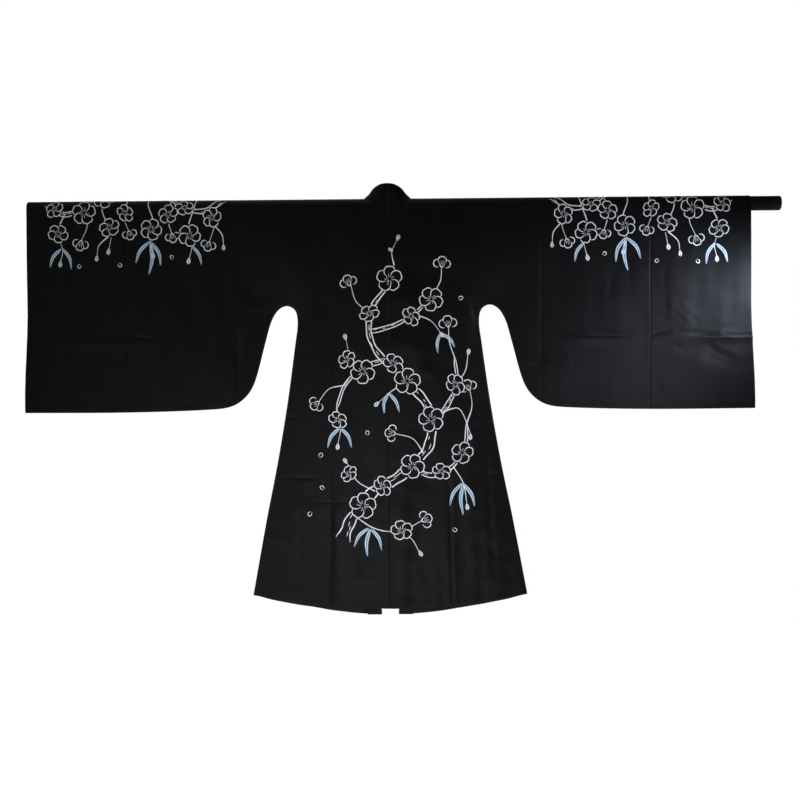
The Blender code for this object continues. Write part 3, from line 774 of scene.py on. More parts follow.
def hung_piece(name, side, outline, rows, edge, joined, relief_of, level_at):
    """A piece of cloth over the rod. Joined says where its edge lies in the outline, on back and front."""
    places = fill(outline, rows)
    border = [list(range(len(outline)))]
    made = delaunay_2d_cdt([Vector(p) for p in places], [], border, 1, SAME_PLACE)
    flat, triangles, sources = np.array([tuple(p) for p in made[0]]), made[2], made[3]
    made_from = {source: i for i, several in enumerate(sources) for source in several}
    faces = np.array(triangles)
    a, b, c = (flat[faces[:, i]] for i in range(3))
    turn = (b[:, 0] - a[:, 0]) * (c[:, 1] - a[:, 1]) - (b[:, 1] - a[:, 1]) * (c[:, 0] - a[:, 0])
    faces[turn * side < 0] = faces[turn * side < 0][:, ::-1]
    mirrored = flat * (side, 1)
    points = hang(mirrored[:, 0], mirrored[:, 1])
    maps = mirrored[faces]
    relief, thickness = relief_of(flat[:, 0], flat[:, 1])

    rings, on_back, on_front = bend_rings(*edge, side)
    numbers = np.full(rings.shape[:2], 0)
    numbers[:, 0] = [made_from[i] for i in joined[0]]
    numbers[:, -1] = [made_from[i] for i in joined[1]]
    fresh = BEND_STEPS - 1
    numbers[:, 1:-1] = len(points) + np.arange(len(rings) * fresh).reshape(-1, fresh)
    points = np.concatenate([points, rings[:, 1:-1].reshape(-1, 3)])
    relief = np.concatenate([relief, np.zeros(len(rings) * fresh)])
    thickness = np.concatenate([thickness, np.full(len(rings) * fresh, THIN)])
    more_faces, more_maps = [], []
    for i in range(len(rings) - 1):
        for j in range(BEND_STEPS):
            wall = on_back if j < BEND_STEPS // 2 else on_front
            quad = [(i, j), (i, j + 1), (i + 1, j + 1), (i + 1, j)][::side]
            for three in (quad[:3], [quad[0], quad[2], quad[3]]):
                more_faces.append([numbers[at] for at in three])
                more_maps.append([wall[at] for at in three])
    faces = np.concatenate([faces, more_faces])
    maps = np.concatenate([maps, more_maps])
    return shell(name, points, faces, maps, relief, thickness, level_at)


# %% [markdown]
# ## The two halves of the body
#
# Each half is one long piece: from the centre-back seam out to the sleeve seam, and from the back hem over
# the rod to the front hem. The neck is cut round on top of the rod. The outline goes round it once, and the
# parts of it that lie on the closed edge come twice, on the back and on the front, which the bend then
# joins. At the neck a few millimetres more of the cloth reach up under the band, as a seam allowance does,
# so no light comes through between the two.

# %% The neck's cut and the runs over the rod
NECK_ROUNDING = -NECK_BACK


def neck_line(shrink):
    """The neck's cut on one half, from the centre back round its corner to the top of the front edge."""
    middle = np.array([NECK_HALF - NECK_ROUNDING, NECK_BACK + NECK_ROUNDING])
    radius = NECK_ROUNDING - shrink
    straight = pairs(spread(GAP / 2, middle[0], POINT_STEP), middle[1] - radius)
    turns = np.linspace(0.0, math.pi / 2, 9)
    return np.concatenate([straight, middle + radius * np.stack([np.sin(turns), -np.cos(turns)], 1)])


def on_back(edge):
    """Places given in across and height, on the back of the flat cloth."""
    return edge - (0.0, QUARTER)


def on_front(edge):
    """Places given in across and height, on the front of the flat cloth, the other way round."""
    return (edge * (1, -1) + (0.0, QUARTER))[::-1]


def over_rod(start, end):
    """Runs from one foot over the rod to the other, without the two feet."""
    back = spread(start - QUARTER, -QUARTER, POINT_STEP)
    front = spread(QUARTER - end, QUARTER, POINT_STEP)
    return np.concatenate([back[1:], ROD_ROWS, front[:0:-1]])


def beside(across, run, offsets):
    """Rows of places beside a seam that runs down the cloth, each an offset further across."""
    return np.concatenate([pairs(across + offset, run) for offset in offsets])


print(len(over_rod(FRONT_HEM, FRONT_HEM)), "places from hem to hem over the rod")

# %% The outline of one half of the body
BODY_SEAM, BAND_SEAM, CENTRE = SLEEVE_SEAM - GAP / 2, NECK_HALF + GAP / 2, GAP / 2
LIFT_FROM, LIFT_TO = 0.080, 0.125
TUCK = 0.004
FURTHEST = 1.2
EDGE_CLEAR = 0.002
NECK_CUT = neck_line(-GAP / 2)
NECK_EDGE = neck_line(TUCK - GAP / 2)
NECK_LENGTH = float(way_along(NECK_CUT)[-1])


def front_edge(run):
    """How far across the body's front edge is. It lies under the band where the band is lifted on to it."""
    return BAND_SEAM - TUCK * (1 - ease(run + NECK_LENGTH, LIFT_FROM, LIFT_TO))


def body_edge():
    """The closed edge of one half of the body, with its outward directions."""
    keep = EDGE_LINE[:, 0] < BODY_SEAM - EDGE_CLEAR
    edge = np.concatenate([EDGE_LINE[keep], [[BODY_SEAM, sleeve_foot(BODY_SEAM)]]])
    outward = np.concatenate([EDGE_OUT[keep], [[0.0, -1.0]]])
    edge[0, 1] = hem_height(edge[0, 0], FRONT_HEM)
    return edge, outward


def body_outline(edge):
    """The outline of one half, and where the closed edge's places are in it."""
    corner = edge[0, 0]
    back_across = spread(CENTRE, corner, POINT_STEP)
    front_across = spread(corner, BAND_SEAM, POINT_STEP)[1:]
    back_hem = pairs(back_across, hem_height(back_across, BACK_HEM) - QUARTER)
    front_hem = pairs(front_across, QUARTER - hem_height(front_across, FRONT_HEM))
    foot = edge[-1, 1]
    seam = pairs(BODY_SEAM, over_rod(foot, foot))
    front_runs = spread(QUARTER - hem_height(BAND_SEAM, FRONT_HEM), 0.0, POINT_STEP)
    front = pairs(front_edge(front_runs), front_runs)
    back = pairs(CENTRE, spread(NECK_EDGE[0, 1], hem_height(CENTRE, BACK_HEM) - QUARTER, POINT_STEP)[1:])
    parts = [back_hem, on_back(edge), seam, on_front(edge), front_hem, front, NECK_EDGE[::-1], back]
    first_back = len(back_hem)
    last_front = first_back + 2 * len(edge) + len(seam) - 1
    numbers = np.arange(len(edge))
    return np.concatenate(parts), (first_back + numbers, last_front - numbers)


print(f"neck cut {NECK_LENGTH:.3f} m, closed edge {len(body_edge()[0])} points")

# %% [markdown]
# ## Relief on the body
#
# The body is sewn at its centre back, at the sleeves and at the neck, and hemmed below. A bump texture
# could draw these lines, but real relief shows in the outline too. So points stand in close rows beside
# each line, and the distance from it gives the relief.

# %% Rows and relief of the body
def body_rows(edge, side):
    """Close rows of places beside the seams, hems and creases of one half."""
    runs = np.arange(-FURTHEST, FURTHEST, POINT_STEP)
    across = np.arange(CENTRE + POINT_STEP, edge[0, 0], POINT_STEP)
    rows = [crease_rows(side), beside(BODY_SEAM, runs, [-offset for offset in SEAM_ROWS])]
    rows.append(beside(CENTRE, runs[runs < -QUARTER], SEAM_ROWS))
    rows.append(beside(BAND_SEAM, runs[runs > QUARTER], SEAM_ROWS))
    for offset in HEM_ROWS:
        rows.append(pairs(across, hem_height(across, BACK_HEM) + offset - QUARTER))
        rows.append(pairs(across, QUARTER - hem_height(across, FRONT_HEM) - offset))
    return np.concatenate(rows)


def body_relief(across, run):
    """The relief and the thickness of the body's cloth at its seams and hems."""
    height = QUARTER - np.abs(run)
    low = np.where(run < 0, BACK_HEM, FRONT_HEM)
    off_hem = height - hem_height(across, low)
    off_neck = off_line(pairs(across, run), np.concatenate([NECK_CUT, [[BAND_SEAM, FURTHEST]]]))
    off_centre = np.where(run < -QUARTER / 2, across - CENTRE, 1.0)
    relief = seam_relief(BODY_SEAM - across, FLAT_SEAM) + seam_relief(off_neck, BAND_SEAM_SHARE)
    relief += seam_relief(off_centre, FLAT_SEAM)
    relief += hem_relief(off_hem, across)
    seams = sum(within(off, ALLOWANCE) for off in (BODY_SEAM - across, off_neck, off_centre))
    return relief, THIN + HEM_EXTRA * within(off_hem, HEM_WIDTH) + SEAM_EXTRA * np.minimum(seams, 1.0)


print(len(body_rows(body_edge()[0], 1)), "places in close rows on one half")

# %% [markdown]
# ## Both halves
#
# Both halves have the same cut. Mirroring a finished half would mirror its folds, and no cloak hangs so
# evenly, so each half is hung by itself.

# %% Both halves of the body
def half_body(name, side):
    edge = body_edge()
    outline, joined = body_outline(edge[0])
    levels = (BODY_SEAM, BAND_SEAM, CENTRE)
    return hung_piece(name, side, outline, body_rows(edge[0], side), edge, joined, body_relief, levels)


SIDES = {"left": -1, "right": 1}


def both(make, name, *given):
    """A piece made on the left and on the right."""
    pieces = {word: make(name + word, *given, side) for word, side in SIDES.items()}
    for piece in pieces.values():
        print(piece.name, len(piece.data.vertices), "points", len(piece.data.polygons), "faces")
    return pieces


bodies = both(half_body, "cloak_body_")

# %% [markdown]
# ## The sleeve ends
#
# Loom width is narrow, so a wide sleeve needs a second length of cloth. It is a tube from the sleeve seam
# to the cuff, closed along its foot, with a hem turned in at the cuff.

# %% The sleeve ends
END_SEAM = SLEEVE_SEAM + GAP / 2
FOOT_BEYOND = 0.62


def end_edge():
    """The closed edge along the foot of a sleeve end."""
    across = np.append(spread(END_SEAM, EDGE_LINE[-1, 0], POINT_STEP), EDGE_LINE[-1, 0])
    return pairs(across, sleeve_foot(across)), pairs(np.zeros(len(across)), -1.0)


def end_relief(across, run):
    """The relief and the thickness of a sleeve end's cloth."""
    off_seam, off_cuff = across - END_SEAM, cuff_across(run) - across
    relief = seam_relief(off_seam, FLAT_SEAM) + hem_relief(off_cuff, run)
    return relief, THIN + HEM_EXTRA * within(off_cuff, HEM_WIDTH) + SEAM_EXTRA * within(off_seam, ALLOWANCE)


def sleeve_end(name, side):
    edge = end_edge()
    foot, cuff_foot = edge[0][0, 1], edge[0][-1, 1]
    cuff_runs = over_rod(cuff_foot, cuff_foot)
    seam = pairs(END_SEAM, over_rod(foot, foot)[::-1])
    outline = [on_back(edge[0]), pairs(cuff_across(cuff_runs), cuff_runs), on_front(edge[0]), seam]
    runs = np.arange(-FOOT_BEYOND, FOOT_BEYOND, POINT_STEP)
    rows = [crease_rows(side), beside(END_SEAM, runs, SEAM_ROWS)]
    rows += [pairs(cuff_across(runs) - off, runs) for off in HEM_ROWS]
    numbers = np.arange(len(edge[0]))
    last_front = 2 * len(edge[0]) + len(cuff_runs) - 1
    joined = (numbers, last_front - numbers)
    outline, rows = np.concatenate(outline), np.concatenate(rows)
    return hung_piece(name, side, outline, rows, edge, joined, end_relief, (END_SEAM,))


sleeves = both(sleeve_end, "cloak_sleeve_")

# %% [markdown]
# ## The band
#
# The band is a straight strip, folded lengthwise, whose two raw edges take in the edge of the cloak. At the
# back of the neck it stands up, at the shoulders it rolls over, and down the front it hangs flat. The table
# gives its folded edge along the way, and its seam follows the neck's cut.

# %% The band
FreeEdge = namedtuple("FreeEdge", "run across out height")
FREE_EDGE = (
    FreeEdge(0.000, 0.0000, -0.0225, 0.0620),
    FreeEdge(0.018, 0.0180, -0.0190, 0.0600),
    FreeEdge(0.036, 0.0340, -0.0060, 0.0540),
    FreeEdge(0.056, 0.0450, 0.0110, 0.0460),
    FreeEdge(0.076, 0.0500, 0.0270, 0.0340),
    FreeEdge(0.096, 0.0460, 0.0390, 0.0120),
    FreeEdge(0.120, 0.0360, 0.0400, -0.0220),
    FreeEdge(0.170, 0.0275, 0.0300, -0.0740),
    FreeEdge(0.220, 0.0250, 0.0235, -0.1160),
    FreeEdge(0.300, 0.0245, 0.0213, -0.1880),
)
BAND_LIFT = CLOTH + GAP
BAND_STEPS = 12
BAND_ROW = 0.005
FREE_STEPS = 16
BAND_THICK = 0.0014
BAND_WAVE, WAVE_FROM, WAVE_TO = 0.0006, 0.2, 0.4
WAVE_TURN, SMALL_WAVE, SMALL_WAVE_TURN = 38, 0.6, 83
TOPSTITCH_IN = 0.0030
BAND_DIP, BAND_DIP_HALF = 0.0003, 0.0014
PUFF, PUFF_HALF, PUFF_LENGTH = 0.00015, 0.006, 0.013
BAND_UNDER = 0.00005


def band_surface(side):
    """The middle surface of one half of the band: rows of points from its seam to its folded edge."""
    neck = neck_line(GAP / 2)
    down = spread(0.0, QUARTER - FRONT_HEM, BAND_ROW)[1:]
    seam = np.concatenate([neck, pairs(NECK_HALF - GAP / 2, np.append(down, QUARTER - FRONT_HEM))])
    run = way_along(seam)
    at_seam = hang(seam[:, 0] * side, seam[:, 1]) * (side, 1, 1)
    off_rod = unit(at_seam * (0, 1, 1))
    at_seam += off_rod * (BAND_LIFT * (1 - ease(run, LIFT_FROM, LIFT_TO)))[:, None]
    stops = np.array(FREE_EDGE)
    free_line = smooth_line(stops[:, 1:], steps=FREE_STEPS)
    place = np.interp(run, stops[:, 0], np.arange(len(stops))) * FREE_STEPS
    at_edge = np.stack([np.interp(place, np.arange(len(free_line)), free_line[:, i]) for i in range(3)], 1)
    hanging = run >= stops[-1, 0]
    at_edge[hanging, 1:] = at_seam[hanging, 1:]
    waves = np.sin(run * WAVE_TURN) + SMALL_WAVE * np.sin(run * SMALL_WAVE_TURN + 1)
    at_edge[:, 0] += BAND_WAVE * waves * ease(run, WAVE_FROM, WAVE_TO)
    share = np.linspace(0.0, 1.0, BAND_STEPS + 1)[None, :, None]
    points = at_seam[:, None] * (1 - share) + at_edge[:, None] * share
    off_axis = np.hypot(points[..., 1], points[..., 2])
    points[..., 1:] *= np.maximum(1.0, WRAP / off_axis)[..., None]
    points[..., 0] = np.maximum(points[..., 0], GAP / 2)
    return points, run


print("band:", " x ".join(str(n) for n in band_surface(1)[0].shape[:2]), "points on each side")

# %% [markdown]
# ## The band's relief
#
# A band is sewn down by one row of stitches near its seam, which dips the cloth and lets it puff between
# them. Its points are in rows already, so faces join them without a triangulation.

# %% The band as a shell
def band_half(name, side):
    rows, run = band_surface(side)
    width = rows.shape[1]
    numbers = np.arange(rows.shape[0] * width).reshape(-1, width)
    a, b, c, d = numbers[:-1, :-1], numbers[:-1, 1:], numbers[1:, 1:], numbers[1:, :-1]
    faces = np.concatenate([np.stack(three, -1).reshape(-1, 3) for three in ((a, b, c), (a, c, d))])
    if side > 0:
        faces = faces[:, ::-1]
    across = np.linalg.norm(rows[:, -1] - rows[:, 0], axis=1)[:, None] * np.linspace(0, 1, width)
    flat = np.stack([across, np.broadcast_to(run[:, None], across.shape)], 2).reshape(-1, 2)
    off_edge = across[:, -1:] - across
    dip = BAND_DIP * near(across, TOPSTITCH_IN, BAND_DIP_HALF)
    puffs = PUFF * np.sin(run[:, None] / PUFF_LENGTH * 2 * math.pi) * near(across, TOPSTITCH_IN, PUFF_HALF)
    relief = puffs - dip - BAND_DIP * (1 - ease(off_edge, 0.0, TOPSTITCH_IN)) - BAND_UNDER
    thickness = np.full(relief.size, BAND_THICK)
    points = rows.reshape(-1, 3) * (side, 1, 1)
    return shell(name, points, faces, flat[faces], relief.ravel(), thickness, (GAP / 2, NECK_HALF - GAP / 2))


bands = both(band_half, "cloak_band_")

# %% [markdown]
# ## Stitches and embroidery as raised lines
#
# Machine embroidery lays satin stitch: threads side by side across a narrow column, so a line stands up as
# a soft rounded ribbon that catches the light. A curve with a round bevel would look like wire, and a
# painted line would have no relief. So each line is a ribbon with a low domed section. Its section is laid
# out on the flat cloth and then hung with it, which lets a line run on over the rod and down the front.

# %% Evenly spaced paths
def resampled(path, spacing):
    """A path again, with its points evenly spaced, and how far along it each of them is."""
    along = way_along(path)
    count = max(3, math.ceil(along[-1] / spacing) + 1)
    stops = np.linspace(0.0, along[-1], count)
    return np.stack([np.interp(stops, along, path[:, i]) for i in range(2)], 1), stops


def sideways(path):
    """The direction to the left at each point of a path."""
    way = unit(np.gradient(path, axis=0))
    return np.stack([-way[:, 1], way[:, 0]], 1)


print("the neck's cut in", len(resampled(NECK_CUT, POINT_STEP)[0]), "even points")

# %% Raised lines on the cloth
SECTION_ACROSS = np.array([-1.0, -0.62, 0.0, 0.62, 1.0])
SECTION_LIFT = np.array([0.0, 0.72, 1.0, 0.72, 0.0])
SINK = 0.0003
HIGHEST_SHARE = 0.4
Line = namedtuple("Line", "path widths height")


def line_parts(lines):
    """The flat places, lifts, faces and UVs of many raised lines, as one mesh."""
    places, lifts, faces, corners = [], [], [], []
    first, ring = 0, len(SECTION_ACROSS)
    for line in lines:
        along = way_along(line.path)
        reach = (line.widths / 2)[:, None] * SECTION_ACROSS
        places.append((line.path[:, None] + sideways(line.path)[:, None] * reach[..., None]).reshape(-1, 2))
        height = np.minimum(line.height, line.widths * HIGHEST_SHARE)
        lifts.append((height[:, None] * SECTION_LIFT - SINK).ravel())
        maps = np.stack([reach, np.broadcast_to(along[:, None], reach.shape)], 2)
        for i in range(len(along) - 1):
            for j in range(ring):
                k = (j + 1) % ring
                quad = ((i, j), (i, k), (i + 1, k), (i + 1, j))
                faces.append([first + row * ring + column for row, column in quad])
                corners += [maps[at] for at in quad]
        for i, order in ((0, range(ring - 1, -1, -1)), (len(along) - 1, range(ring))):
            faces.append([first + i * ring + j for j in order])
            corners += [maps[i, j] for j in order]
        first += len(along) * ring
    return np.concatenate(places), np.concatenate(lifts), faces, corners


def raised_lines(name, lines, side=1):
    """Raised lines laid on the cloth. A side of -1 mirrors them to the left."""
    places, lifts, faces, corners = line_parts(lines)
    points = laid(places[:, 0] * side, places[:, 1], lifts)
    if side > 0:
        faces = [face[::-1] for face in faces]
        corners = flipped(corners, faces)
    return mesh_object(name, points, faces, corners)


def flipped(corners, faces):
    """The corners' UVs for faces that were turned over."""
    turned, at = [], 0
    for face in faces:
        turned += corners[at : at + len(face)][::-1]
        at += len(face)
    return turned


print(f"a line has {len(SECTION_ACROSS)} points across and sinks {SINK * 1000:.1f} mm into the cloth")

# %% [markdown]
# ## Topstitching
#
# Every hem is held by a row of stitches. They are black on black and hardly show, but close up they are
# what says that the garment was sewn. Each stitch is a short raised line with a gap after it.

# %% Topstitching on the hems
STITCH, STITCH_GAP, STITCH_WIDE, STITCH_HIGH = 0.0028, 0.0012, 0.0007, 0.00055
STITCH_SWELL = np.array([0.6, 1.0, 0.6])
ROW_STEP = 0.004


def stitches(path):
    """A row of stitches along a path."""
    path, _ = resampled(path, STITCH + STITCH_GAP)
    row = []
    for start, end in zip(path[:-1], path[1:]):
        stop = start + (end - start) * STITCH / (STITCH + STITCH_GAP)
        middle = (start + stop) / 2
        row.append(Line(np.array([start, middle, stop]), STITCH_SWELL * STITCH_WIDE, STITCH_HIGH))
    return row


def hem_path(low, facing):
    """The stitching line above a hem, on the back or on the front."""
    start = CENTRE if facing < 0 else BAND_SEAM
    across = np.arange(start + EDGE_CLEAR, body_edge()[0][0, 0] - EDGE_CLEAR, ROW_STEP)
    return pairs(across, facing * (QUARTER - hem_height(across, low) - HEM_WIDTH))


def cuff_path():
    """The stitching line beside the cuff, from its foot at the back over the rod to its foot in front."""
    reach = QUARTER - sleeve_foot(1.0) - ROW_STEP
    runs = np.arange(-reach, reach, ROW_STEP)
    return pairs(cuff_across(runs) - HEM_WIDTH, runs)


hem_rows = stitches(hem_path(BACK_HEM, -1)) + stitches(hem_path(FRONT_HEM, 1))
cuff_rows = stitches(cuff_path())
hem_stitches = both(raised_lines, "hem_stitches_", hem_rows)
cuff_stitches = both(raised_lines, "cuff_stitches_", cuff_rows)
print(len(hem_rows), "hem stitches and", len(cuff_rows), "cuff stitches on each side")

# %% [markdown]
# ## Blossom, branch and leaf
#
# The back and the sleeves carry an embroidered branch of plum blossom, drawn in thin silver lines with a
# few leaves filled in pale blue. It is an old, general motif. Drawing each flower by hand would take a long
# list of points, so every part of it is a function of its place, its size and its turn. A line that swells
# and thins, as a brush does, is what makes it look drawn, so each line has a width at each of its points.

# %% Brush lines
LINE_STEP = 0.0026
BOLD, PLAIN, FINE = 0.0042, 0.0034, 0.0024
LINE_HIGH, FILL_HIGH = 0.0008, 0.0010
TAPER, PETAL_TAPER, SHORT_TAPER, TIP = 0.012, 0.010, 0.004, 0.35
TWIG_TIP, SWELL, SWELL_LENGTH = 0.0018, 0.16, 0.017
ARC_POINTS, NOTCH_TURN = 19, 0.32
draw = random.Random(12)


def drawn(stops, wide=PLAIN, taper=TAPER, tip=TIP):
    """A line through stops, thinner towards both of its ends."""
    path = smooth_line(stops, LINE_STEP) if len(stops) < 9 else np.asarray(stops, float)
    path, along = resampled(path, LINE_STEP)
    ends = np.minimum(along, along[-1] - along)
    widths = wide * (tip + (1 - tip) * ease(ends, 0.0, min(taper, along[-1] / 2.5)))
    return Line(path, widths, LINE_HIGH)


def twig(stops):
    """A twig as one stroke that thins from its root to its tip."""
    path, along = resampled(smooth_line(stops, LINE_STEP), LINE_STEP)
    share = along / along[-1]
    swell = 1 + SWELL * np.sin(along / SWELL_LENGTH + stops[0][0] * 90)
    return Line(path, (BOLD + (TWIG_TIP - BOLD) * share) * swell, LINE_HIGH)


def turned(points, angle, size):
    """Points drawn round 0, turned and scaled."""
    cos, sin = math.cos(angle) * size, math.sin(angle) * size
    return np.asarray(points, float) @ np.array([[cos, sin], [-sin, cos]])


def arc(middle, radius, start, end, notch=0.0):
    """A round stretch, in degrees, about a middle on the across axis, with a dent furthest out."""
    angle = np.radians(np.linspace(start, end, ARC_POINTS))
    reach = radius * (1 - notch * near(angle, 0.0, NOTCH_TURN))
    return np.stack([middle + reach * np.cos(angle), reach * np.sin(angle)], 1)


print("a stroke 50 mm long has", len(drawn(((0.0, 0.0), (0.05, 0.0))).path), "points")

# %% [markdown]
# ## Blossoms
#
# Plum blossom has five round petals, each with a small dent, and a spray of fine stamens. One flower copied
# would look printed, so each is drawn anew, a little unevenly, and flattened where it faces away.

# %% Open blossoms
Blossom = namedtuple("Blossom", "across height size turn flat lean", defaults=(1.0, 0.0))
PETAL_MIDDLE, PETAL_RADIUS, PETAL_NOTCH = 0.56, 0.43, 0.14
PETALS, STAMENS = 5, 9
PETAL_TURNS, PETAL_SIZES = 0.05, (0.94, 1.05)
STAMEN_TURNS, STAMEN_FROM, STAMEN_REACHES = 0.14, 0.10, (0.34, 0.50)


def stamen(put, start, reach, angle):
    """A stamen and its tip."""
    bend = (start + reach) / 2
    stem = put([(start, 0.0), (bend, 0.03), (reach, 0.0)], angle, FINE * 0.7, SHORT_TAPER)
    return [stem, put([(reach, 0.0), (reach + 0.08, 0.0)], angle, FINE * 1.1, 0.001, 0.8)]


def blossom(flower):
    """An open blossom: overlapping petals and stamens, flattened along its lean where it faces away."""
    way = np.array([math.cos(flower.lean), math.sin(flower.lean)])

    def put(points, angle, wide, taper, tip=0.4):
        at = turned(points, angle, flower.size)
        at = at - np.outer(at @ way, way) * (1 - flower.flat)
        return drawn(at + flower[:2], wide, taper, tip)

    lines = []
    for i in range(PETALS):
        angle = flower.turn + 2 * math.pi * i / PETALS + draw.uniform(-PETAL_TURNS, PETAL_TURNS)
        radius = PETAL_RADIUS * draw.uniform(*PETAL_SIZES)
        lines.append(put(arc(PETAL_MIDDLE, radius, -84, 148, PETAL_NOTCH), angle, PLAIN, PETAL_TAPER))
    for i in range(STAMENS):
        angle = flower.turn + 2 * math.pi * i / STAMENS + draw.uniform(-STAMEN_TURNS, STAMEN_TURNS)
        lines += stamen(put, STAMEN_FROM, draw.uniform(*STAMEN_REACHES), angle)
    return lines


print(f"an open blossom has {PETALS} petals and {STAMENS} stamens")

# %% Blossoms from the side and loose petals
Small = namedtuple("Small", "across height size turn")


def half_blossom(flower):
    """A blossom from the side, which opens along its turn: three petals, stamens and the calyx."""

    def put(points, angle, wide, taper, tip=0.4):
        at = turned(points, flower.turn + angle, flower.size)
        return drawn(at + flower[:2], wide, taper, tip)

    lines = [put(arc(0.62, 0.34, -118, 118, 0.10), 0.0, PLAIN, PETAL_TAPER)]
    for facing, start, end in ((1, -150, 62), (-1, -62, 150)):
        lines.append(put(arc(0.52, 0.32, start, end), -0.8 * facing, PLAIN, PETAL_TAPER))
        calyx = [(0.0, 0.0), (0.16, 0.12 * facing), (0.27, 0.22 * facing)]
        lines.append(put(calyx, 0.0, PLAIN, 0.006))
    for angle in (-0.6, -0.25, 0.1, 0.47):
        lines += stamen(put, 0.24, draw.uniform(0.55, 0.72), angle)
    return lines


def falling_petal(petal):
    """A loose petal, as one rounded drop."""
    angle = np.linspace(-2.75, 2.75, ARC_POINTS)
    drop = np.stack([0.5 + 0.5 * np.cos(angle), 0.36 * np.sin(angle) * (1 + 0.25 * np.cos(angle))], 1)
    return [drawn(turned(drop, petal.turn, petal.size) + petal[:2], FINE, 0.006)]


print("a loose petal has", len(falling_petal(Small(0.0, 0.0, 0.014, 0.0))[0].path), "points")

# %% [markdown]
# ## Buds, leaves and bark
#
# A solid shape is filled with satin stitch. One column would be too wide to hold, so a leaf and a bud are
# two columns with a fine gap between them. Bark is two uneven lines with strokes of grain between.

# %% Buds and leaves
Leaf = namedtuple("Leaf", "across height to_across to_height wide bow")
FILL_GAP = 0.0005


def filled(rib, half):
    """Two filled halves along a rib, with a fine gap between them. Half is how wide each is along the rib."""
    out = sideways(rib)
    off = (half + FILL_GAP) / 2
    return [Line(rib + out * (facing * off)[:, None], half, FILL_HIGH) for facing in (1, -1)]


def bud(row):
    """A closed bud that points along its turn, filled, on a calyx of three short strokes."""
    share = np.linspace(0.0, 1.0, 9)
    rib = turned(np.stack([0.25 + 0.75 * share, 0.0 * share], 1), row.turn, row.size) + row[:2]
    lines = filled(rib, row.size * (0.06 + 0.26 * np.sin(math.pi * share**0.8)))
    for angle in (-0.66, 0.0, 0.66):
        stroke = turned([(0.0, 0.0), (0.16, 0.0), (0.36, 0.0)], row.turn + angle, row.size)
        lines.append(drawn(stroke + row[:2], FINE, SHORT_TAPER))
    return lines


def leaf(row):
    """A filled leaf from its root to its tip, bowed to one side."""
    root, tip = np.array(row[:2]), np.array(row[2:4])
    way = tip - root
    aside = np.array([-way[1], way[0]]) * row.bow
    rib, along = resampled(smooth_line([root, root + way * 0.5 + aside, tip], LINE_STEP), LINE_STEP)
    share = along / along[-1]
    return filled(rib, row.wide * (np.sin(math.pi * share**0.7) ** 0.8 * 0.94 + 0.06))


print("a bud has", len(bud(Small(0.0, 0.0, 0.018, 0.0))), "lines")

# %% Bark
Branch = namedtuple("Branch", "thick thin stops")
KNOT, KNOT_LENGTH, SMALL_KNOT, SMALL_KNOT_LENGTH = 0.20, 0.021, 0.12, 0.0083
BARK_TAPER, BARK_TIP = 0.02, 0.45
GRAIN_FROM, GRAIN_CLEAR, GRAIN_LEAST = 0.012, 0.03, 0.004
GRAIN_STEPS, THICK, THIN_BRANCH = (0.011, 0.024), 0.017, 0.006


def bark_line(path, along, half, phase):
    """A line beside a path, with the knots of old bark."""
    knots = 1 + KNOT * np.sin(along / KNOT_LENGTH + phase)
    knots += SMALL_KNOT * np.sin(along / SMALL_KNOT_LENGTH + 2.3 * phase)
    return path + sideways(path) * (half * knots)[:, None]


def bark(row):
    """A branch as two lines of bark that close at its tip, with strokes of grain between them."""
    path, along = resampled(smooth_line(row.stops, LINE_STEP), LINE_STEP)
    share = along / along[-1]
    half = (row.thick + (row.thin - row.thick) * share**0.8) / 2 * (1 - 0.85 * ease(share, 0.9, 1.0))
    start = row.stops[0]
    edge = PLAIN + (row.thick - 0.008) * 0.04
    sides = ((half, 0.3 + start[0] * 40), (-half, 2.6 + start[1] * 40))
    lines = [drawn(bark_line(path, along, *side), edge, BARK_TAPER, BARK_TIP) for side in sides]
    place = GRAIN_FROM
    while place < along[-1] - GRAIN_CLEAR:
        i = int(place / LINE_STEP)
        if half[i] > GRAIN_LEAST:
            stretch = slice(i, i + draw.randint(5, 11))
            grain = bark_line(path, along, half * draw.uniform(-0.5, 0.5), place * 50)[stretch]
            lines.append(drawn(grain, FINE, 0.008, 0.3))
        place += draw.uniform(*GRAIN_STEPS) * (THICK / max(half[i], THIN_BRANCH)) ** 0.5
    return lines


print("grain", " to ".join(f"{step * 1000:.0f}" for step in GRAIN_STEPS), "mm apart on a thick branch")

# %% [markdown]
# ## A whole picture
#
# An embroiderer doesn't sew a twig under a blossom, because the threads would pile up. So a line stops
# where a blossom covers it, rather than running on below.

# %% A whole picture
COVERS = 0.97


def covered(places, flower):
    """Which places lie on a blossom."""
    way = np.array([math.cos(flower.lean), math.sin(flower.lean)])
    off = places - flower[:2]
    off = off + np.outer(off @ way, way) * (1 / flower.flat - 1)
    return np.linalg.norm(off, axis=1) < flower.size * COVERS


def cut_round(lines, flowers):
    """The lines without the stretches that would lie under a blossom."""
    kept = []
    for line in lines:
        hidden = np.zeros(len(line.path), bool)
        for flower in flowers:
            hidden |= covered(line.path, flower)
        ends = np.flatnonzero(np.diff(np.concatenate([[True], hidden, [True]]).astype(int)))
        for first, last in zip(ends[::2], ends[1::2]):
            if last - first > 3:
                kept.append(Line(line.path[first:last], line.widths[first:last], line.height))
    return kept


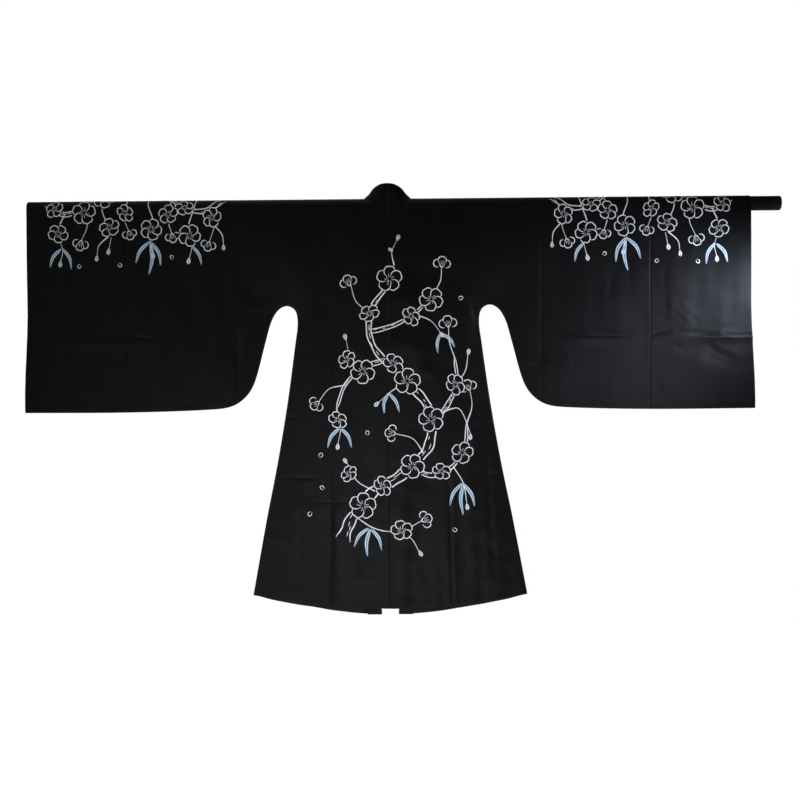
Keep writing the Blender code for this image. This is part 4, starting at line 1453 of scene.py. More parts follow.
def picture(branches, twigs, blossoms, halves, buds, leaves, petals):
    """The silver lines and the pale blue fill of one picture. A later blossom lies over an earlier one."""
    wood = [line for row in branches for line in bark(row)] + [twig(stops) for stops in twigs]
    flowers = [line for i, row in enumerate(blossoms) for line in cut_round(blossom(row), blossoms[i + 1 :])]
    small = [line for row in halves for line in half_blossom(row)]
    small += [line for row in buds for line in bud(row)]
    small += [line for row in petals for line in falling_petal(row)]
    fills = [half for row in leaves for half in leaf(row)]
    return cut_round(wood, blossoms) + flowers + cut_round(small, blossoms), cut_round(fills, blossoms)


print(f"a line stops at {COVERS:.0%} of a blossom's size")

# %% [markdown]
# ## The branch on the back
#
# One old branch climbs from the lower left, swings right across the seam and back again towards the neck,
# with side shoots that carry blossoms and buds. Each row below is a size and a few stops, in millimetres
# across and down from the rod. Bark lines stop where a blossom lies on them, as an embroiderer would plan
# it.

# %% The branch on the back
BACK_BRANCHES = in_metres(3, (
    Branch(34, 9, (
        (-128, -930), (-100, -860), (-38, -795), (48, -740), (112, -665),
        (116, -580), (62, -500), (-8, -435), (-52, -365), (-46, -290),
        (-4, -225), (18, -165))),
    Branch(14, 5, (
        (60, -733), (125, -752), (178, -728), (212, -668), (218, -600))),
    Branch(13, 5, ((118, -610), (162, -560), (190, -490), (184, -420))),
    Branch(13, 5, ((-12, -430), (-70, -452), (-122, -500), (-146, -568))),
    Branch(12, 5, ((-52, -350), (8, -338), (72, -304), (124, -248))),
))
BACK_TWIGS = [np.divide(stops, 1000) for stops in (
    ((178, -728), (206, -775), (216, -835)),
    ((218, -606), (232, -560), (226, -512)),
    ((150, -575), (196, -568), (228, -640)),
    ((184, -424), (170, -380), (168, -335)),
    ((188, -500), (214, -462), (222, -415)),
    ((-70, -452), (-104, -424), (-118, -372)),
    ((-146, -562), (-134, -612), (-142, -664)),
    ((-122, -500), (-166, -510), (-196, -546)),
    ((124, -250), (146, -212), (150, -170)),
    ((72, -304), (118, -322), (146, -356)),
    ((18, -168), (12, -132), (26, -98)),
    ((-48, -300), (-88, -268), (-104, -218)),
    ((-100, -862), (-40, -900), (30, -906), (92, -878)),
    ((30, -906), (62, -930), (82, -965)),
    ((-40, -796), (-88, -768), (-118, -716)),
    ((96, -690), (66, -650), (18, -636)),
    ((62, -500), (20, -510), (-28, -548)),
)]
BACK_BLOSSOMS = in_metres(3, (
    Blossom(4, -205, 37, 0.3),
    Blossom(-52, -300, 30, 1.0, 0.75, 2.0),
    Blossom(64, -310, 29, 0.1, 0.8, 0.6),
    Blossom(120, -262, 34, 0.8),
    Blossom(-116, -428, 28, 0.5, 0.8, 2.6),
    Blossom(-72, -462, 35, 0.9),
    Blossom(14, -440, 31, 0.6, 0.85, 1.0),
    Blossom(52, -490, 38, 0.2),
    Blossom(186, -500, 32, 0.9, 0.8, 0.4),
    Blossom(118, -596, 37, 0.6),
    Blossom(204, -690, 33, 0.0, 0.9, 2.2),
    Blossom(146, -742, 28, 0.4, 0.8, 1.2),
    Blossom(64, -726, 35, 1.1),
    Blossom(-18, -782, 30, 0.4, 0.8, 0.5),
    Blossom(-74, -836, 38, 0.2),
    Blossom(-112, -746, 26, 0.7, 0.75, 2.4),
    Blossom(34, -904, 31, 0.5, 0.9, 1.5),
    Blossom(-142, -596, 28, 0.5, 0.8, 1.0),
))
BACK_HALVES = in_metres(3, (
    Small(150, -176, 34, 1.5),
    Small(168, -342, 36, 1.7),
    Small(-106, -224, 34, 1.9),
    Small(226, -518, 34, 1.9),
    Small(-194, -544, 32, 3.9),
    Small(88, -880, 34, 0.4),
    Small(20, -636, 33, 3.0),
))
BACK_BUDS = in_metres(3, (
    Small(26, -100, 19, 1.2),
    Small(14, -130, 15, 2.4),
    Small(144, -354, 18, 5.4),
    Small(222, -418, 18, 1.4),
    Small(-118, -374, 18, 1.8),
    Small(-142, -662, 18, 4.6),
    Small(-118, -718, 17, 2.1),
    Small(216, -832, 18, 4.8),
    Small(82, -962, 18, 5.2),
    Small(-27, -547, 18, 3.9),
    Small(228, -638, 17, 4.6),
))
BACK_LEAVES = in_metres(5, (
    Leaf(206, -776, 238, -842, 5.2, 0.10),
    Leaf(206, -776, 206, -866, 5.4, -0.08),
    Leaf(204, -774, 168, -840, 4.8, -0.12),
    Leaf(-136, -618, -104, -676, 4.8, 0.12),
    Leaf(-136, -618, -172, -676, 5, -0.12),
    Leaf(148, -358, 186, -398, 4.6, 0.12),
    Leaf(146, -356, 138, -414, 4.6, -0.10),
    Leaf(0, -522, -12, -582, 4.6, -0.12),
    Leaf(0, -522, 30, -578, 4.8, 0.10),
    Leaf(-52, -900, -22, -962, 5, 0.12),
    Leaf(-54, -900, -62, -980, 5.4, -0.08),
    Leaf(-58, -898, -100, -952, 4.8, -0.12),
))
BACK_PETALS = in_metres(3, (
    Small(-196, -700, 14, 0.8),
    Small(-182, -790, 13, 2.4),
    Small(-218, -852, 14, 4.1),
    Small(176, -900, 13, 5.6),
    Small(196, -262, 13, 0.4),
    Small(-62, -640, 13, 1.3),
))


def on_the_back(lines):
    """Lines drawn in across and height, as lines on the flat cloth of the back."""
    return [line._replace(path=on_back(line.path)) for line in lines]


silver, blue = picture(BACK_BRANCHES, BACK_TWIGS, BACK_BLOSSOMS, BACK_HALVES, BACK_BUDS,
                       BACK_LEAVES, BACK_PETALS)
back_silver = raised_lines("embroidery_back_silver", on_the_back(silver))
back_blue = raised_lines("embroidery_back_blue", on_the_back(blue))
length = sum(way_along(line.path)[-1] for line in silver)
print(f"{len(silver)} silver lines, {length:.1f} m in all, {len(back_silver.data.polygons)} faces")

# %% [markdown]
# ## The sprays on the sleeves
#
# Each sleeve has sprays that hang from the fold at the top and go over it to the front. Their stops give
# how far they are from the top of the fold: below 0 down the back, above 0 down the front. The left sleeve
# is the right one mirrored.

# %% The sprays on the sleeves
SLEEVE_BRANCHES = in_metres(3, (
    Branch(17, 6, ((952, -18), (902, -50), (842, -30), (776, 20), (716, 62))),
    Branch(15, 6, ((455, -10), (508, -44), (568, -34), (626, 8), (680, 36))),
))
SLEEVE_TWIGS = [np.divide(stops, 1000) for stops in (
    ((902, -50), (922, -100), (908, -150), (914, -182)),
    ((846, -32), (838, -80), (856, -126)),
    ((802, 0), (794, -50), (772, -100), (778, -148)),
    ((748, 40), (728, -10), (736, -58), (722, -100)),
    ((496, -36), (484, -84), (498, -132)),
    ((542, -44), (556, -92), (546, -140), (554, -176)),
    ((602, -12), (614, -60), (602, -108)),
    ((658, 26), (668, -22), (654, -72), (664, -124), (656, -160)),
    ((776, 20), (786, 70), (774, 116)),
    ((842, -30), (858, 20), (846, 66)),
    ((626, 8), (616, 58), (630, 104)),
    ((716, 62), (698, 98), (706, 136)),
    ((540, -40), (530, 10), (544, 60)),
    ((778, -112), (806, -138), (812, -168)),
    ((484, -84), (462, -110), (458, -140)),
)]
SLEEVE_BLOSSOMS = in_metres(3, (
    Blossom(930, -36, 27, 0.3, 0.8, 0.7),
    Blossom(920, -104, 29, 0.9, 0.9, 2.0),
    Blossom(848, -46, 34, 0.4),
    Blossom(776, -88, 30, 0.1, 0.85, 1.1),
    Blossom(794, -4, 31, 0.6),
    Blossom(732, -48, 27, 0.2, 0.8, 2.5),
    Blossom(490, -62, 29, 0.5, 0.9, 0.4),
    Blossom(552, -112, 32, 0.8),
    Blossom(566, -34, 27, 0.1, 0.8, 1.7),
    Blossom(612, -52, 29, 0.3, 0.9, 1.0),
    Blossom(660, -94, 31, 0.7),
    Blossom(628, 26, 30, 0.9),
    Blossom(782, 58, 31, 0.2),
    Blossom(706, 78, 30, 0.6, 0.9, 0.5),
    Blossom(532, 24, 27, 0.4, 0.9, 2.0),
))
SLEEVE_HALVES = in_metres(3, (
    Small(855, -122, 32, 4.95),
    Small(723, -96, 29, 4.45),
    Small(497, -128, 30, 5.0),
    Small(603, -104, 29, 4.5),
    Small(775, 112, 31, 1.75),
    Small(629, 100, 31, 1.35),
    Small(846, 62, 30, 1.75),
))
SLEEVE_BUDS = in_metres(3, (
    Small(914, -180, 18, 4.8),
    Small(778, -146, 18, 4.9),
    Small(812, -166, 16, 4.8),
    Small(554, -174, 18, 4.9),
    Small(656, -158, 18, 4.6),
    Small(458, -138, 16, 4.7),
    Small(706, 134, 18, 1.4),
    Small(543, 58, 17, 1.3),
))
SLEEVE_LEAVES = in_metres(5, (
    Leaf(910, -144, 884, -206, 4.6, -0.12),
    Leaf(912, -146, 944, -200, 4.8, 0.12),
    Leaf(662, -128, 634, -198, 5, -0.12),
    Leaf(662, -132, 668, -222, 5.4, -0.08),
    Leaf(664, -128, 704, -190, 5, 0.12),
    Leaf(547, -140, 520, -196, 4.6, -0.12),
    Leaf(630, 62, 660, 116, 4.6, -0.12),
    Leaf(786, 78, 818, 130, 4.6, -0.12),
))
SLEEVE_PETALS = in_metres(3, (
    Small(600, -178, 12, 1.1),
    Small(752, -188, 12, 4.0),
    Small(858, -190, 12, 5.3),
))

silver, blue = picture(SLEEVE_BRANCHES, SLEEVE_TWIGS, SLEEVE_BLOSSOMS, SLEEVE_HALVES, SLEEVE_BUDS,
                       SLEEVE_LEAVES, SLEEVE_PETALS)
sleeve_silver = both(raised_lines, "embroidery_sleeve_silver_", silver)
sleeve_blue = both(raised_lines, "embroidery_sleeve_blue_", blue)
print(len(silver), "silver lines and", len(blue), "filled halves on each sleeve")

# %% [markdown]
# ## Shader groups
#
# The cloth, the band, the sewing thread and the embroidery thread share a few effects: the weave, a slow
# drift of the dye, small wrinkles and the run of the stitches. Each is a node group with named inputs and
# outputs, built once and placed in each material with its own values.

# %% A helper for shader groups
def node_group(name, inputs, outputs):
    """An empty shader group with its sockets. Inputs map names to defaults, and None means a vector."""
    group = bpy.data.node_groups.new(name, "ShaderNodeTree")
    for label, default in inputs.items():
        kind = "NodeSocketVector" if default is None else "NodeSocketFloat"
        socket = group.interface.new_socket(name=label, in_out="INPUT", socket_type=kind)
        if default is not None:
            socket.default_value = default
    for label in outputs:
        group.interface.new_socket(name=label, in_out="OUTPUT", socket_type="NodeSocketFloat")
    return group, group.nodes.new("NodeGroupInput"), group.nodes.new("NodeGroupOutput")


def maths(tree, operation, first, second=None, third=None):
    """A Math node, whose values may be numbers or sockets."""
    node = tree.nodes.new("ShaderNodeMath")
    node.operation = operation
    for socket, value in zip(node.inputs, (first, second, third)):
        if value is None:
            continue
        if isinstance(value, (int, float)):
            socket.default_value = value
        else:
            tree.links.new(value, socket)
    return node.outputs[0]


def noise(tree, vector, scale, detail=2.0, roughness=0.5):
    """A Noise Texture's value. Its scale may be a number or a socket."""
    node = tree.nodes.new("ShaderNodeTexNoise")
    node.inputs["Detail"].default_value = detail
    node.inputs["Roughness"].default_value = roughness
    tree.links.new(vector, node.inputs["Vector"])
    if isinstance(scale, (int, float)):
        node.inputs["Scale"].default_value = scale
    else:
        tree.links.new(scale, node.inputs["Scale"])
    return node.outputs["Fac"]


# %% [markdown]
# ### Plain weave
#
# In plain weave each thread goes over one crossing thread and under the next. Two sine waves give the round
# backs of the threads, and the sign of their product says which of the two lies on top. A stretched noise
# makes some threads thicker than others, as in real yarn.

# %% The weave group
SLUB_SCALE, SLUB_STRETCH = 900.0, (1.0, 0.06, 1.0)


def weave_group():
    sockets = {"Vector": None, "Threads per metre": 1400.0, "Slub": 0.4}
    tree, given, put = node_group("Plain weave", sockets, ("Height", "Top"))
    parts = tree.nodes.new("ShaderNodeSeparateXYZ")
    tree.links.new(given.outputs["Vector"], parts.inputs[0])
    turn = maths(tree, "MULTIPLY", given.outputs["Threads per metre"], math.pi)
    warp = maths(tree, "SINE", maths(tree, "MULTIPLY", parts.outputs["X"], turn))
    weft = maths(tree, "SINE", maths(tree, "MULTIPLY", parts.outputs["Y"], turn))
    over = maths(tree, "MULTIPLY_ADD", maths(tree, "MULTIPLY", warp, weft), 0.5, 0.5)
    round_warp = maths(tree, "MULTIPLY", maths(tree, "ABSOLUTE", warp), over)
    round_weft = maths(tree, "MULTIPLY", maths(tree, "ABSOLUTE", weft), maths(tree, "SUBTRACT", 1.0, over))
    thread = maths(tree, "MAXIMUM", round_warp, round_weft)
    stretch = tree.nodes.new("ShaderNodeMapping")
    stretch.inputs["Scale"].default_value = SLUB_STRETCH
    tree.links.new(given.outputs["Vector"], stretch.inputs["Vector"])
    uneven = noise(tree, stretch.outputs[0], SLUB_SCALE)
    slub = maths(tree, "MULTIPLY", maths(tree, "SUBTRACT", uneven, 0.5), given.outputs["Slub"])
    tree.links.new(maths(tree, "ADD", thread, slub), put.inputs["Height"])
    tree.links.new(over, put.inputs["Top"])
    return tree


WEAVE = weave_group()
print(WEAVE.name, "in", len(WEAVE.nodes), "nodes")

# %% [markdown]
# ### Dye drift and wrinkles
#
# Black cloth is never one black. The dye drifts over the width of the loom, and the nap turns with
# handling. Wrinkles too small for the mesh, from folding and handling, are two sizes of soft noise.

# %% The dye and wrinkle groups
FINER_DYE, FINE_SHARE = 23.0, 0.3
FINER_WRINKLES, WRINKLE_SHARE = 4.0, 0.22


def drift_group():
    tree, given, put = node_group("Dye drift", {"Vector": None, "Scale": 6.0, "Contrast": 1.0}, ("Mask",))
    vector, scale, contrast = (given.outputs[label] for label in ("Vector", "Scale", "Contrast"))
    broad = noise(tree, vector, scale, 3.0)
    fine = noise(tree, vector, maths(tree, "MULTIPLY", scale, FINER_DYE), 2.0)
    mixed = maths(tree, "MULTIPLY_ADD", fine, FINE_SHARE, maths(tree, "MULTIPLY", broad, 1 - FINE_SHARE))
    spread_out = maths(tree, "MULTIPLY", maths(tree, "SUBTRACT", mixed, 0.5), contrast)
    above_0 = maths(tree, "MAXIMUM", maths(tree, "ADD", spread_out, 0.5), 0.0)
    tree.links.new(maths(tree, "MINIMUM", above_0, 1.0), put.inputs["Mask"])
    return tree


def wrinkle_group():
    sockets = {"Vector": None, "Size": 0.05, "Depth": 0.0006}
    tree, given, put = node_group("Small wrinkles", sockets, ("Height",))
    vector, size, depth = (given.outputs[label] for label in sockets)
    scale = maths(tree, "DIVIDE", 1.0, size)
    broad = noise(tree, vector, scale, 2.0, 0.45)
    small = noise(tree, vector, maths(tree, "MULTIPLY", scale, FINER_WRINKLES), 2.0, 0.5)
    total = maths(tree, "MULTIPLY_ADD", small, WRINKLE_SHARE, broad)
    tree.links.new(maths(tree, "MULTIPLY", total, depth), put.inputs["Height"])
    return tree


DRIFT, WRINKLES = drift_group(), wrinkle_group()
print(DRIFT.name, "in", len(DRIFT.nodes), "nodes and", WRINKLES.name, "in", len(WRINKLES.nodes))

# %% [markdown]
# ### Satin stitch
#
# In satin stitch the threads lie across the column, a little slanted. Their UVs hold the way across in
# metres and the way along, so one wave along the line draws the threads, and a noise makes them uneven.
# The tone output mixes a random tone with each thread's height, so a colour drawn by it is lighter on the
# threads' crests and darker in the grooves between them: painted shade.

# %% The stitch group
STRAY, STRAY_SCALE, TONE_SCALE = 0.0006, 500.0, 160.0


def stitch_group():
    sockets = {"Vector": None, "Threads per metre": 2200.0, "Slant": 0.35}
    tree, given, put = node_group("Satin stitch", sockets, ("Height", "Tone and groove shade"))
    vector, threads, slant = (given.outputs[label] for label in sockets)
    parts = tree.nodes.new("ShaderNodeSeparateXYZ")
    tree.links.new(vector, parts.inputs[0])
    slanted = maths(tree, "MULTIPLY_ADD", parts.outputs["X"], slant, parts.outputs["Y"])
    moved = maths(tree, "MULTIPLY_ADD", noise(tree, vector, STRAY_SCALE), STRAY, slanted)
    turn = maths(tree, "MULTIPLY", threads, math.pi)
    thread = maths(tree, "ABSOLUTE", maths(tree, "SINE", maths(tree, "MULTIPLY", moved, turn)))
    tree.links.new(thread, put.inputs["Height"])
    # A random tone mixed with the threads' height: darker in the grooves between threads, painted shade.
    tone = noise(tree, vector, TONE_SCALE)
    mixed = maths(tree, "MULTIPLY_ADD", tone, 0.5, maths(tree, "MULTIPLY", thread, 0.5))
    tree.links.new(mixed, put.inputs["Tone and groove shade"])
    return tree


SATIN = stitch_group()
print(SATIN.name, "in", len(SATIN.nodes), "nodes")

# %% [markdown]
# ## Materials from groups
#
# Every finish here is one Principled shader with groups in front of it. Writing out each tree would repeat
# the same few nodes, so short helpers place a group, mix by a mask and stack the bumps.

# %% Materials from groups
def new_material(name):
    """A material, its tree and its Principled shader."""
    material = bpy.data.materials.new(name)
    material.use_nodes = True
    return material, material.node_tree, material.node_tree.nodes["Principled BSDF"]


def place(tree, group, vector=None, **values):
    """Puts a group into a material with its own values, and returns its outputs."""
    node = tree.nodes.new("ShaderNodeGroup")
    node.node_tree = group
    if vector is not None:
        tree.links.new(vector, node.inputs["Vector"])
    for label, value in values.items():
        node.inputs[label.replace("_", " ")].default_value = value
    return node.outputs


def coordinates(tree, flat):
    """The flat places of the cloth, or places in space."""
    if flat:
        node = tree.nodes.new("ShaderNodeUVMap")
        node.uv_map = "Cloth"
        return node.outputs[0]
    return tree.nodes.new("ShaderNodeTexCoord").outputs["Object"]


def blend_colours(tree, mask, first, second):
    """A colour between two, by a mask."""
    mix = tree.nodes.new("ShaderNodeMix")
    mix.data_type = "RGBA"
    mix.inputs[6].default_value = (*first, 1.0)
    mix.inputs[7].default_value = (*second, 1.0)
    tree.links.new(mask, mix.inputs[0])
    return mix.outputs[2]


def between(tree, mask, low, high):
    """A value between two, by a mask."""
    return maths(tree, "MULTIPLY_ADD", mask, high - low, low)


def bump(tree, surface, *heights):
    """Bumps the surface by several heights, each with its distance in metres."""
    last = None
    for height, distance in heights:
        node = tree.nodes.new("ShaderNodeBump")
        node.inputs["Distance"].default_value = distance
        tree.links.new(height, node.inputs["Height"])
        if last is not None:
            tree.links.new(last, node.inputs["Normal"])
        last = node.outputs["Normal"]
    tree.links.new(last, surface.inputs["Normal"])


# %% [markdown]
# ## The black cloth
#
# The cloth is a matt, slightly cool black with a faint sheen where light grazes it. Black cloth in a white
# room easily turns grey, because it is lit from all sides and the shader's usual gloss mirrors the room. So
# its colour is nearly black, its gloss is turned well down on the shader's own socket, and the sheen is
# only a touch.

# %% The black cloth
CLOTH_DARK, CLOTH_LIGHT = (0.0007, 0.0007, 0.0008), (0.0015, 0.0016, 0.0018)
CLOTH_GLOSS, CLOTH_SHEEN = 0.14, 0.004
CLOTH_SMOOTH, CLOTH_ROUGH = 0.50, 0.58
SHEEN_ROUGH, SHEEN_TINT = 0.4, (0.80, 0.85, 1.0, 1.0)
WEAVE_SHARE, WEAVE_DEPTH = 0.35, 0.00006


def cloth_material(name, threads, depth):
    material, tree, surface = new_material(name)
    flat, around = coordinates(tree, True), coordinates(tree, False)
    weave = place(tree, WEAVE, flat, Threads_per_metre=threads)
    drift = place(tree, DRIFT, around, Scale=5.0, Contrast=1.8)
    wrinkles = place(tree, WRINKLES, around, Size=0.045, Depth=depth)
    drifted = maths(tree, "MULTIPLY", drift["Mask"], 1 - WEAVE_SHARE)
    mask = maths(tree, "MULTIPLY_ADD", weave["Top"], WEAVE_SHARE, drifted)
    tree.links.new(blend_colours(tree, mask, CLOTH_DARK, CLOTH_LIGHT), surface.inputs["Base Color"])
    tree.links.new(between(tree, drift["Mask"], CLOTH_SMOOTH, CLOTH_ROUGH), surface.inputs["Roughness"])
    surface.inputs["Specular IOR Level"].default_value = CLOTH_GLOSS
    surface.inputs["Sheen Weight"].default_value = CLOTH_SHEEN
    surface.inputs["Sheen Roughness"].default_value = SHEEN_ROUGH
    surface.inputs["Sheen Tint"].default_value = SHEEN_TINT
    bump(tree, surface, (wrinkles["Height"], 1.0), (weave["Height"], WEAVE_DEPTH))
    return material


def dress(material, *pieces):
    """Gives pieces a material."""
    for piece in pieces:
        piece.data.materials.append(material)


dress(cloth_material("black cloth", 1400.0, 0.0006), *bodies.values(), *sleeves.values())
dress(cloth_material("band cloth", 1500.0, 0.0003), *bands.values())
print(len(bodies) + len(sleeves) + len(bands), "pieces in black cloth")

# %% [markdown]
# ## The threads
#
# Rayon and metallic embroidery thread shines along its length. The silver is a light grey, and the blue is
# pale and cool. The sewing thread is black like the cloth, but a little glossier, so it shows as a faint
# row of dashes. Each colour is lighter on the crests of the stitches and darker in the grooves between
# them, which is painted shade, with a random tone mixed in.

# %% The threads
THREAD_ROUGHER, THREAD_SHEEN = 0.12, 0.2


def thread_material(name, dark, light, roughness, gloss, depth):
    material, tree, surface = new_material(name)
    satin = place(tree, SATIN, coordinates(tree, True))
    # The colour follows the stitch tone: painted shade in the grooves between threads, and a random tone.
    tree.links.new(blend_colours(tree, satin["Tone and groove shade"], dark, light), surface.inputs["Base Color"])
    rough = between(tree, satin["Tone and groove shade"], roughness + THREAD_ROUGHER, roughness)
    tree.links.new(rough, surface.inputs["Roughness"])
    surface.inputs["Specular IOR Level"].default_value = gloss
    surface.inputs["Sheen Weight"].default_value = THREAD_SHEEN * light[0]
    bump(tree, surface, (satin["Height"], depth))
    return material


Thread = namedtuple("Thread", "name dark light roughness gloss depth pieces")
THREADS = (
    Thread("silver thread", (0.66, 0.66, 0.65), (0.93, 0.93, 0.93), 0.40, 0.6, 0.00012,
           (back_silver, *sleeve_silver.values())),
    Thread("pale blue thread", (0.36, 0.52, 0.66), (0.60, 0.76, 0.90), 0.40, 0.6, 0.00012,
           (back_blue, *sleeve_blue.values())),
    Thread("sewing thread", (0.002, 0.002, 0.002), (0.005, 0.005, 0.006), 0.55, 0.2, 0.00005,
           (*hem_stitches.values(), *cuff_stitches.values())),
)
for thread in THREADS:
    dress(thread_material(*thread[:-1]), *thread.pieces)
    print(thread.name, "on", len(thread.pieces), "pieces")

# %% [markdown]
# ## The rod and its cap
#
# The rod is a dark painted tube. Its shape in the frame is right, so it keeps its node and only gets a
# better paint: a brownish black with a fine orange-peel bump, uneven in tone and in gloss.

# %% The rod and its cap
PAINT_ROUGHER, PAINT_GLOSS = 0.15, 0.1


def paint_material(name, dark, light, roughness):
    material, tree, surface = new_material(name)
    around = coordinates(tree, False)
    drift = place(tree, DRIFT, around, Scale=30.0, Contrast=2.0)
    wrinkles = place(tree, WRINKLES, around, Size=0.002, Depth=0.00003)
    tree.links.new(blend_colours(tree, drift["Mask"], dark, light), surface.inputs["Base Color"])
    rough = between(tree, drift["Mask"], roughness, roughness + PAINT_ROUGHER)
    tree.links.new(rough, surface.inputs["Roughness"])
    surface.inputs["Specular IOR Level"].default_value = PAINT_GLOSS
    bump(tree, surface, (wrinkles["Height"], 1.0))
    return material


rod_paint = paint_material("rod paint", (0.0045, 0.0040, 0.0034), (0.0080, 0.0072, 0.0060), 0.50)
cap_paint = paint_material("cap paint", (0.008, 0.0075, 0.0068), (0.013, 0.012, 0.011), 0.45)
for node, paint in (("rod", rod_paint), ("rod_cap", cap_paint)):
    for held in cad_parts[node].material_slots:
        held.material = paint
    print(node, "in", paint.name)

# %% [markdown]
# ## What each piece stands for
#
# Each piece takes the place of one of the frame's solids, which are hidden, and rides on the root. A
# sheet's flat size is the cut of that piece: its width, its length over the rod, and its real area. These
# are worked out below, but nothing here uses them.

# %% Ride and replace
def flat_area(outline):
    """The area inside an outline."""
    x, y = outline[:, 0], outline[:, 1]
    return abs(np.dot(x, np.roll(y, -1)) - np.dot(y, np.roll(x, -1))) / 2


outline, _ = body_outline(body_edge()[0])
body_flat = (SLEEVE_SEAM, float(np.ptp(outline[:, 1])))
body_area = float(flat_area(outline))
end_length = 2 * (QUARTER - sleeve_foot(SLEEVE_SEAM)) + math.pi * EDGE_BEND
rows, run = band_surface(1)

for word in SIDES:
    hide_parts("body_" + word)
    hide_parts("sleeve_" + word)
    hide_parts("band_" + word)
    for piece in (bodies[word], sleeves[word], bands[word], hem_stitches[word], cuff_stitches[word],
                  sleeve_silver[word], sleeve_blue[word]):
        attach(piece, "root")
for piece in (back_silver, back_blue):
    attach(piece, "root")

# %% [markdown]
# ## The studio
#
# The cloak hangs in front of white. A white world as bright as the photograph's would also light the black
# cloth grey, so the world is white where the camera sees it and much dimmer where it lights the cloth:
# darkest overhead and brighter towards the floor.

# %% The world
DIM, BRIGHT = 0.01, 0.07
DIM_FROM, BRIGHT_FROM = 0.16, -0.16
PURE_WHITE, COOL_WHITE = (1.0, 1.0, 1.0, 1.0), (0.95, 0.97, 1.0, 1.0)


def fade(tree, value, low, high, at_low, at_high):
    """A smooth step of a value between two others."""
    node = tree.nodes.new("ShaderNodeMapRange")
    node.interpolation_type = "SMOOTHSTEP"
    for label, number in zip(("From Min", "From Max", "To Min", "To Max"), (low, high, at_low, at_high)):
        node.inputs[label].default_value = number
    tree.links.new(value, node.inputs["Value"])
    return node.outputs[0]


def white_world():
    world = bpy.data.worlds.new("studio")
    world.use_nodes = True
    tree = world.node_tree
    tree.nodes.clear()
    seen, lighting = (tree.nodes.new("ShaderNodeBackground") for _ in range(2))
    seen.inputs["Color"].default_value = PURE_WHITE
    lighting.inputs["Color"].default_value = COOL_WHITE
    where = tree.nodes.new("ShaderNodeTexCoord")
    parts = tree.nodes.new("ShaderNodeSeparateXYZ")
    tree.links.new(where.outputs["Generated"], parts.inputs[0])
    strength = fade(tree, parts.outputs["Z"], BRIGHT_FROM, DIM_FROM, BRIGHT, DIM)
    tree.links.new(strength, lighting.inputs["Strength"])
    rays = tree.nodes.new("ShaderNodeLightPath")
    mix = tree.nodes.new("ShaderNodeMixShader")
    put = tree.nodes.new("ShaderNodeOutputWorld")
    tree.links.new(rays.outputs["Is Camera Ray"], mix.inputs[0])
    tree.links.new(lighting.outputs[0], mix.inputs[1])
    tree.links.new(seen.outputs[0], mix.inputs[2])
    tree.links.new(mix.outputs[0], put.inputs["Surface"])
    bpy.context.scene.world = world


white_world()
print("world:", bpy.context.scene.world.name)

# %% [markdown]
# ## The floor
#
# The floor is a white disc that fades out before its edge, so that it has no horizon from any side, as a
# plane would. Its Light Path node makes it light the cloth less than the camera sees it shine.

# %% The floor
FLOOR_HEIGHT, FLOOR_RADIUS = -1.62, 4.5
FADE_FROM, FADE_TO = 0.9, 3.2
FLOOR_LIGHTS, FLOOR_SEEN = 0.60, 1.0
FLOOR_WHITE, FLOOR_ROUGH = (0.9, 0.9, 0.9, 1.0), 0.9


def floor_material():
    material, tree, surface = new_material("floor")
    surface.inputs["Base Color"].default_value = FLOOR_WHITE
    surface.inputs["Roughness"].default_value = FLOOR_ROUGH
    surface.inputs["Specular IOR Level"].default_value = 0.0
    surface.inputs["Emission Color"].default_value = PURE_WHITE
    rays = tree.nodes.new("ShaderNodeLightPath")
    shine = fade(tree, rays.outputs["Is Camera Ray"], 0.0, 1.0, FLOOR_LIGHTS, FLOOR_SEEN)
    tree.links.new(shine, surface.inputs["Emission Strength"])
    where = tree.nodes.new("ShaderNodeTexCoord")
    far = tree.nodes.new("ShaderNodeVectorMath")
    far.operation = "LENGTH"
    tree.links.new(where.outputs["Object"], far.inputs[0])
    tree.links.new(fade(tree, far.outputs["Value"], FADE_FROM, FADE_TO, 1.0, 0.0), surface.inputs["Alpha"])
    return material


bpy.ops.mesh.primitive_circle_add(vertices=64, radius=FLOOR_RADIUS, fill_type="NGON",
                                  location=(0, 0, FLOOR_HEIGHT))
floor = bpy.context.object
floor.name = "floor"
floor.data.materials.append(floor_material())
floor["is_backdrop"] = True
print(f"floor {FLOOR_RADIUS * 2:.0f} m wide at {FLOOR_HEIGHT} m")

# %% [markdown]
# ## The lights
#
# Most of the light comes from low in front, so that a groove pressed into the cloth reads as a dark line.
# One wide light overhead brings out the fold over the rod, and weaker ones at the sides catch the threads.
# Black cloth shows its sheen only where it mirrors a light, so small cool lights stand close to the right
# cuff, like a window there. Each light but one is made again in front of the cloak, so that it looks the
# same from both sides.

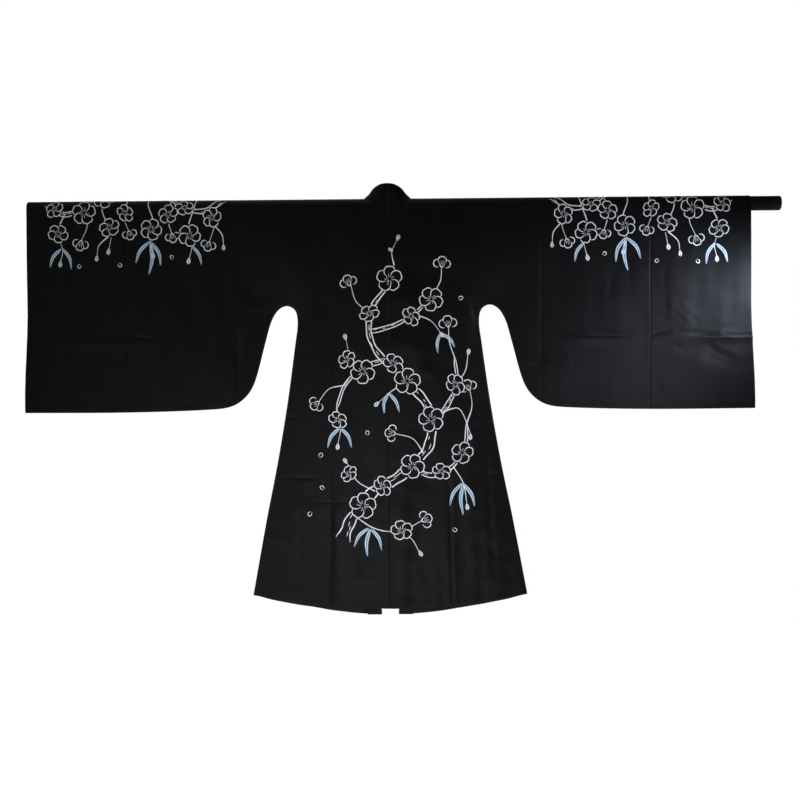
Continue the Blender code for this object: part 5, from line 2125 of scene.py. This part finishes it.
# %% The lights
Light = namedtuple("Light", "name power wide high place aim beam colour both")
WARM, WHITE, COLD = (1.0, 0.99, 0.97), (1.0, 1.0, 1.0), (0.90, 0.93, 1.0)
PALE_BLUE, BLUE = (0.78, 0.82, 1.0), (0.62, 0.72, 1.0)
LIGHTS = (
    Light("top light", 19.0, 2.6, 2.0, (-0.5, -1.5, 2.8), (0.0, 0.0, -0.5), 180, WARM, True),
    Light("floor light", 11.5, 2.0, 0.5, (0.0, -1.2, -1.55), (0.0, 0.0, -0.8), 180, COLD, True),
    Light("left side light", 7.0, 1.0, 1.6, (-2.8, -1.2, 0.5), (0.0, 0.0, -0.6), 180, WARM, True),
    Light("right side light", 3.0, 1.0, 1.6, (2.8, -1.2, 0.5), (0.0, 0.0, -0.6), 180, WARM, True),
    Light("left low light", 0.8, 0.5, 0.8, (-2.0, -1.3, -1.45), (0.1, 0.0, -0.9), 50, WHITE, True),
    Light("left near light", 0.55, 0.4, 0.8, (-1.6, -1.6, -0.5), (0.0, 0.0, -0.4), 60, WHITE, True),
    Light("body light", 0.70, 0.3, 0.3, (-0.12, -1.0, -1.05), (-0.02, 0.0, -0.62), 80, PALE_BLUE, True),
    Light("cuff light", 1.25, 0.15, 0.15, (1.12, -0.22, -0.24), (0.90, 0.0, -0.30), 110, BLUE, False),
    Light("sleeve light", 0.75, 0.25, 0.15, (1.30, -0.30, -0.15), (0.70, 0.0, -0.40), 60, WHITE, True),
    Light("sleeve fill light", 0.50, 0.3, 0.3, (0.85, -0.70, -0.62), (0.70, 0.0, -0.38), 60, PALE_BLUE, True),
)
for row in LIGHTS:
    for facing in (-1, 1) if row.both else (-1,):
        across, level, height = row.place
        place = Vector((across, -level * facing, height))
        name = ("back " if facing < 0 else "front ") + row.name
        data = bpy.data.lights.new(name, "AREA")
        data.shape = "RECTANGLE"
        data.size, data.size_y = row.wide, row.high
        data.energy = row.power
        data.spread = math.radians(row.beam)
        data.color = row.colour
        lamp = bpy.data.objects.new(name, data)
        lamp.location = place
        lamp.rotation_euler = (Vector(row.aim) - place).to_track_quat("-Z", "Y").to_euler()
        lamp.visible_camera = False
        bpy.context.scene.collection.objects.link(lamp)
print(sum(1 + row.both for row in LIGHTS), "lights")

# %% [markdown]
# ## The camera
#
# The camera stands almost square to the back at chest height, turned a little, as in the photo. Its place
# and its lens were fitted on points of the outline, because a camera placed by eye changes how wide the
# sleeves look against the body.

# %% The camera
VIEW_MIDDLE = Vector((0.0313, 0.0, -0.5422))
VIEW_DISTANCE = 3.22
VIEW_TURN = math.radians(0.68)
VIEW_ROLL = math.radians(0.41)
LENS = 51.7

camera = bpy.data.objects.new("camera", bpy.data.cameras.new("camera"))
camera.data.lens = LENS
camera.location = VIEW_MIDDLE + VIEW_DISTANCE * Vector((math.sin(VIEW_TURN), -math.cos(VIEW_TURN), 0.0))
camera.rotation_euler = (math.pi / 2, VIEW_ROLL, VIEW_TURN)
bpy.context.scene.collection.objects.link(camera)
bpy.context.scene.camera = camera
bpy.context.scene.view_settings.view_transform = "Standard"
print(f"lens {LENS:.1f} mm at {VIEW_DISTANCE} m")

# %% [markdown]
# ## The size and finish
#
# The dressed cloak has to stay as big as its frame, so the last cell gives the frame's box and the
# dressed cloak's box.

# %% Sizes and finish
boxes = {"cad": cad_box, "visual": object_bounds()}
{name: [list(corner) for corner in box] for name, box in boxes.items()}
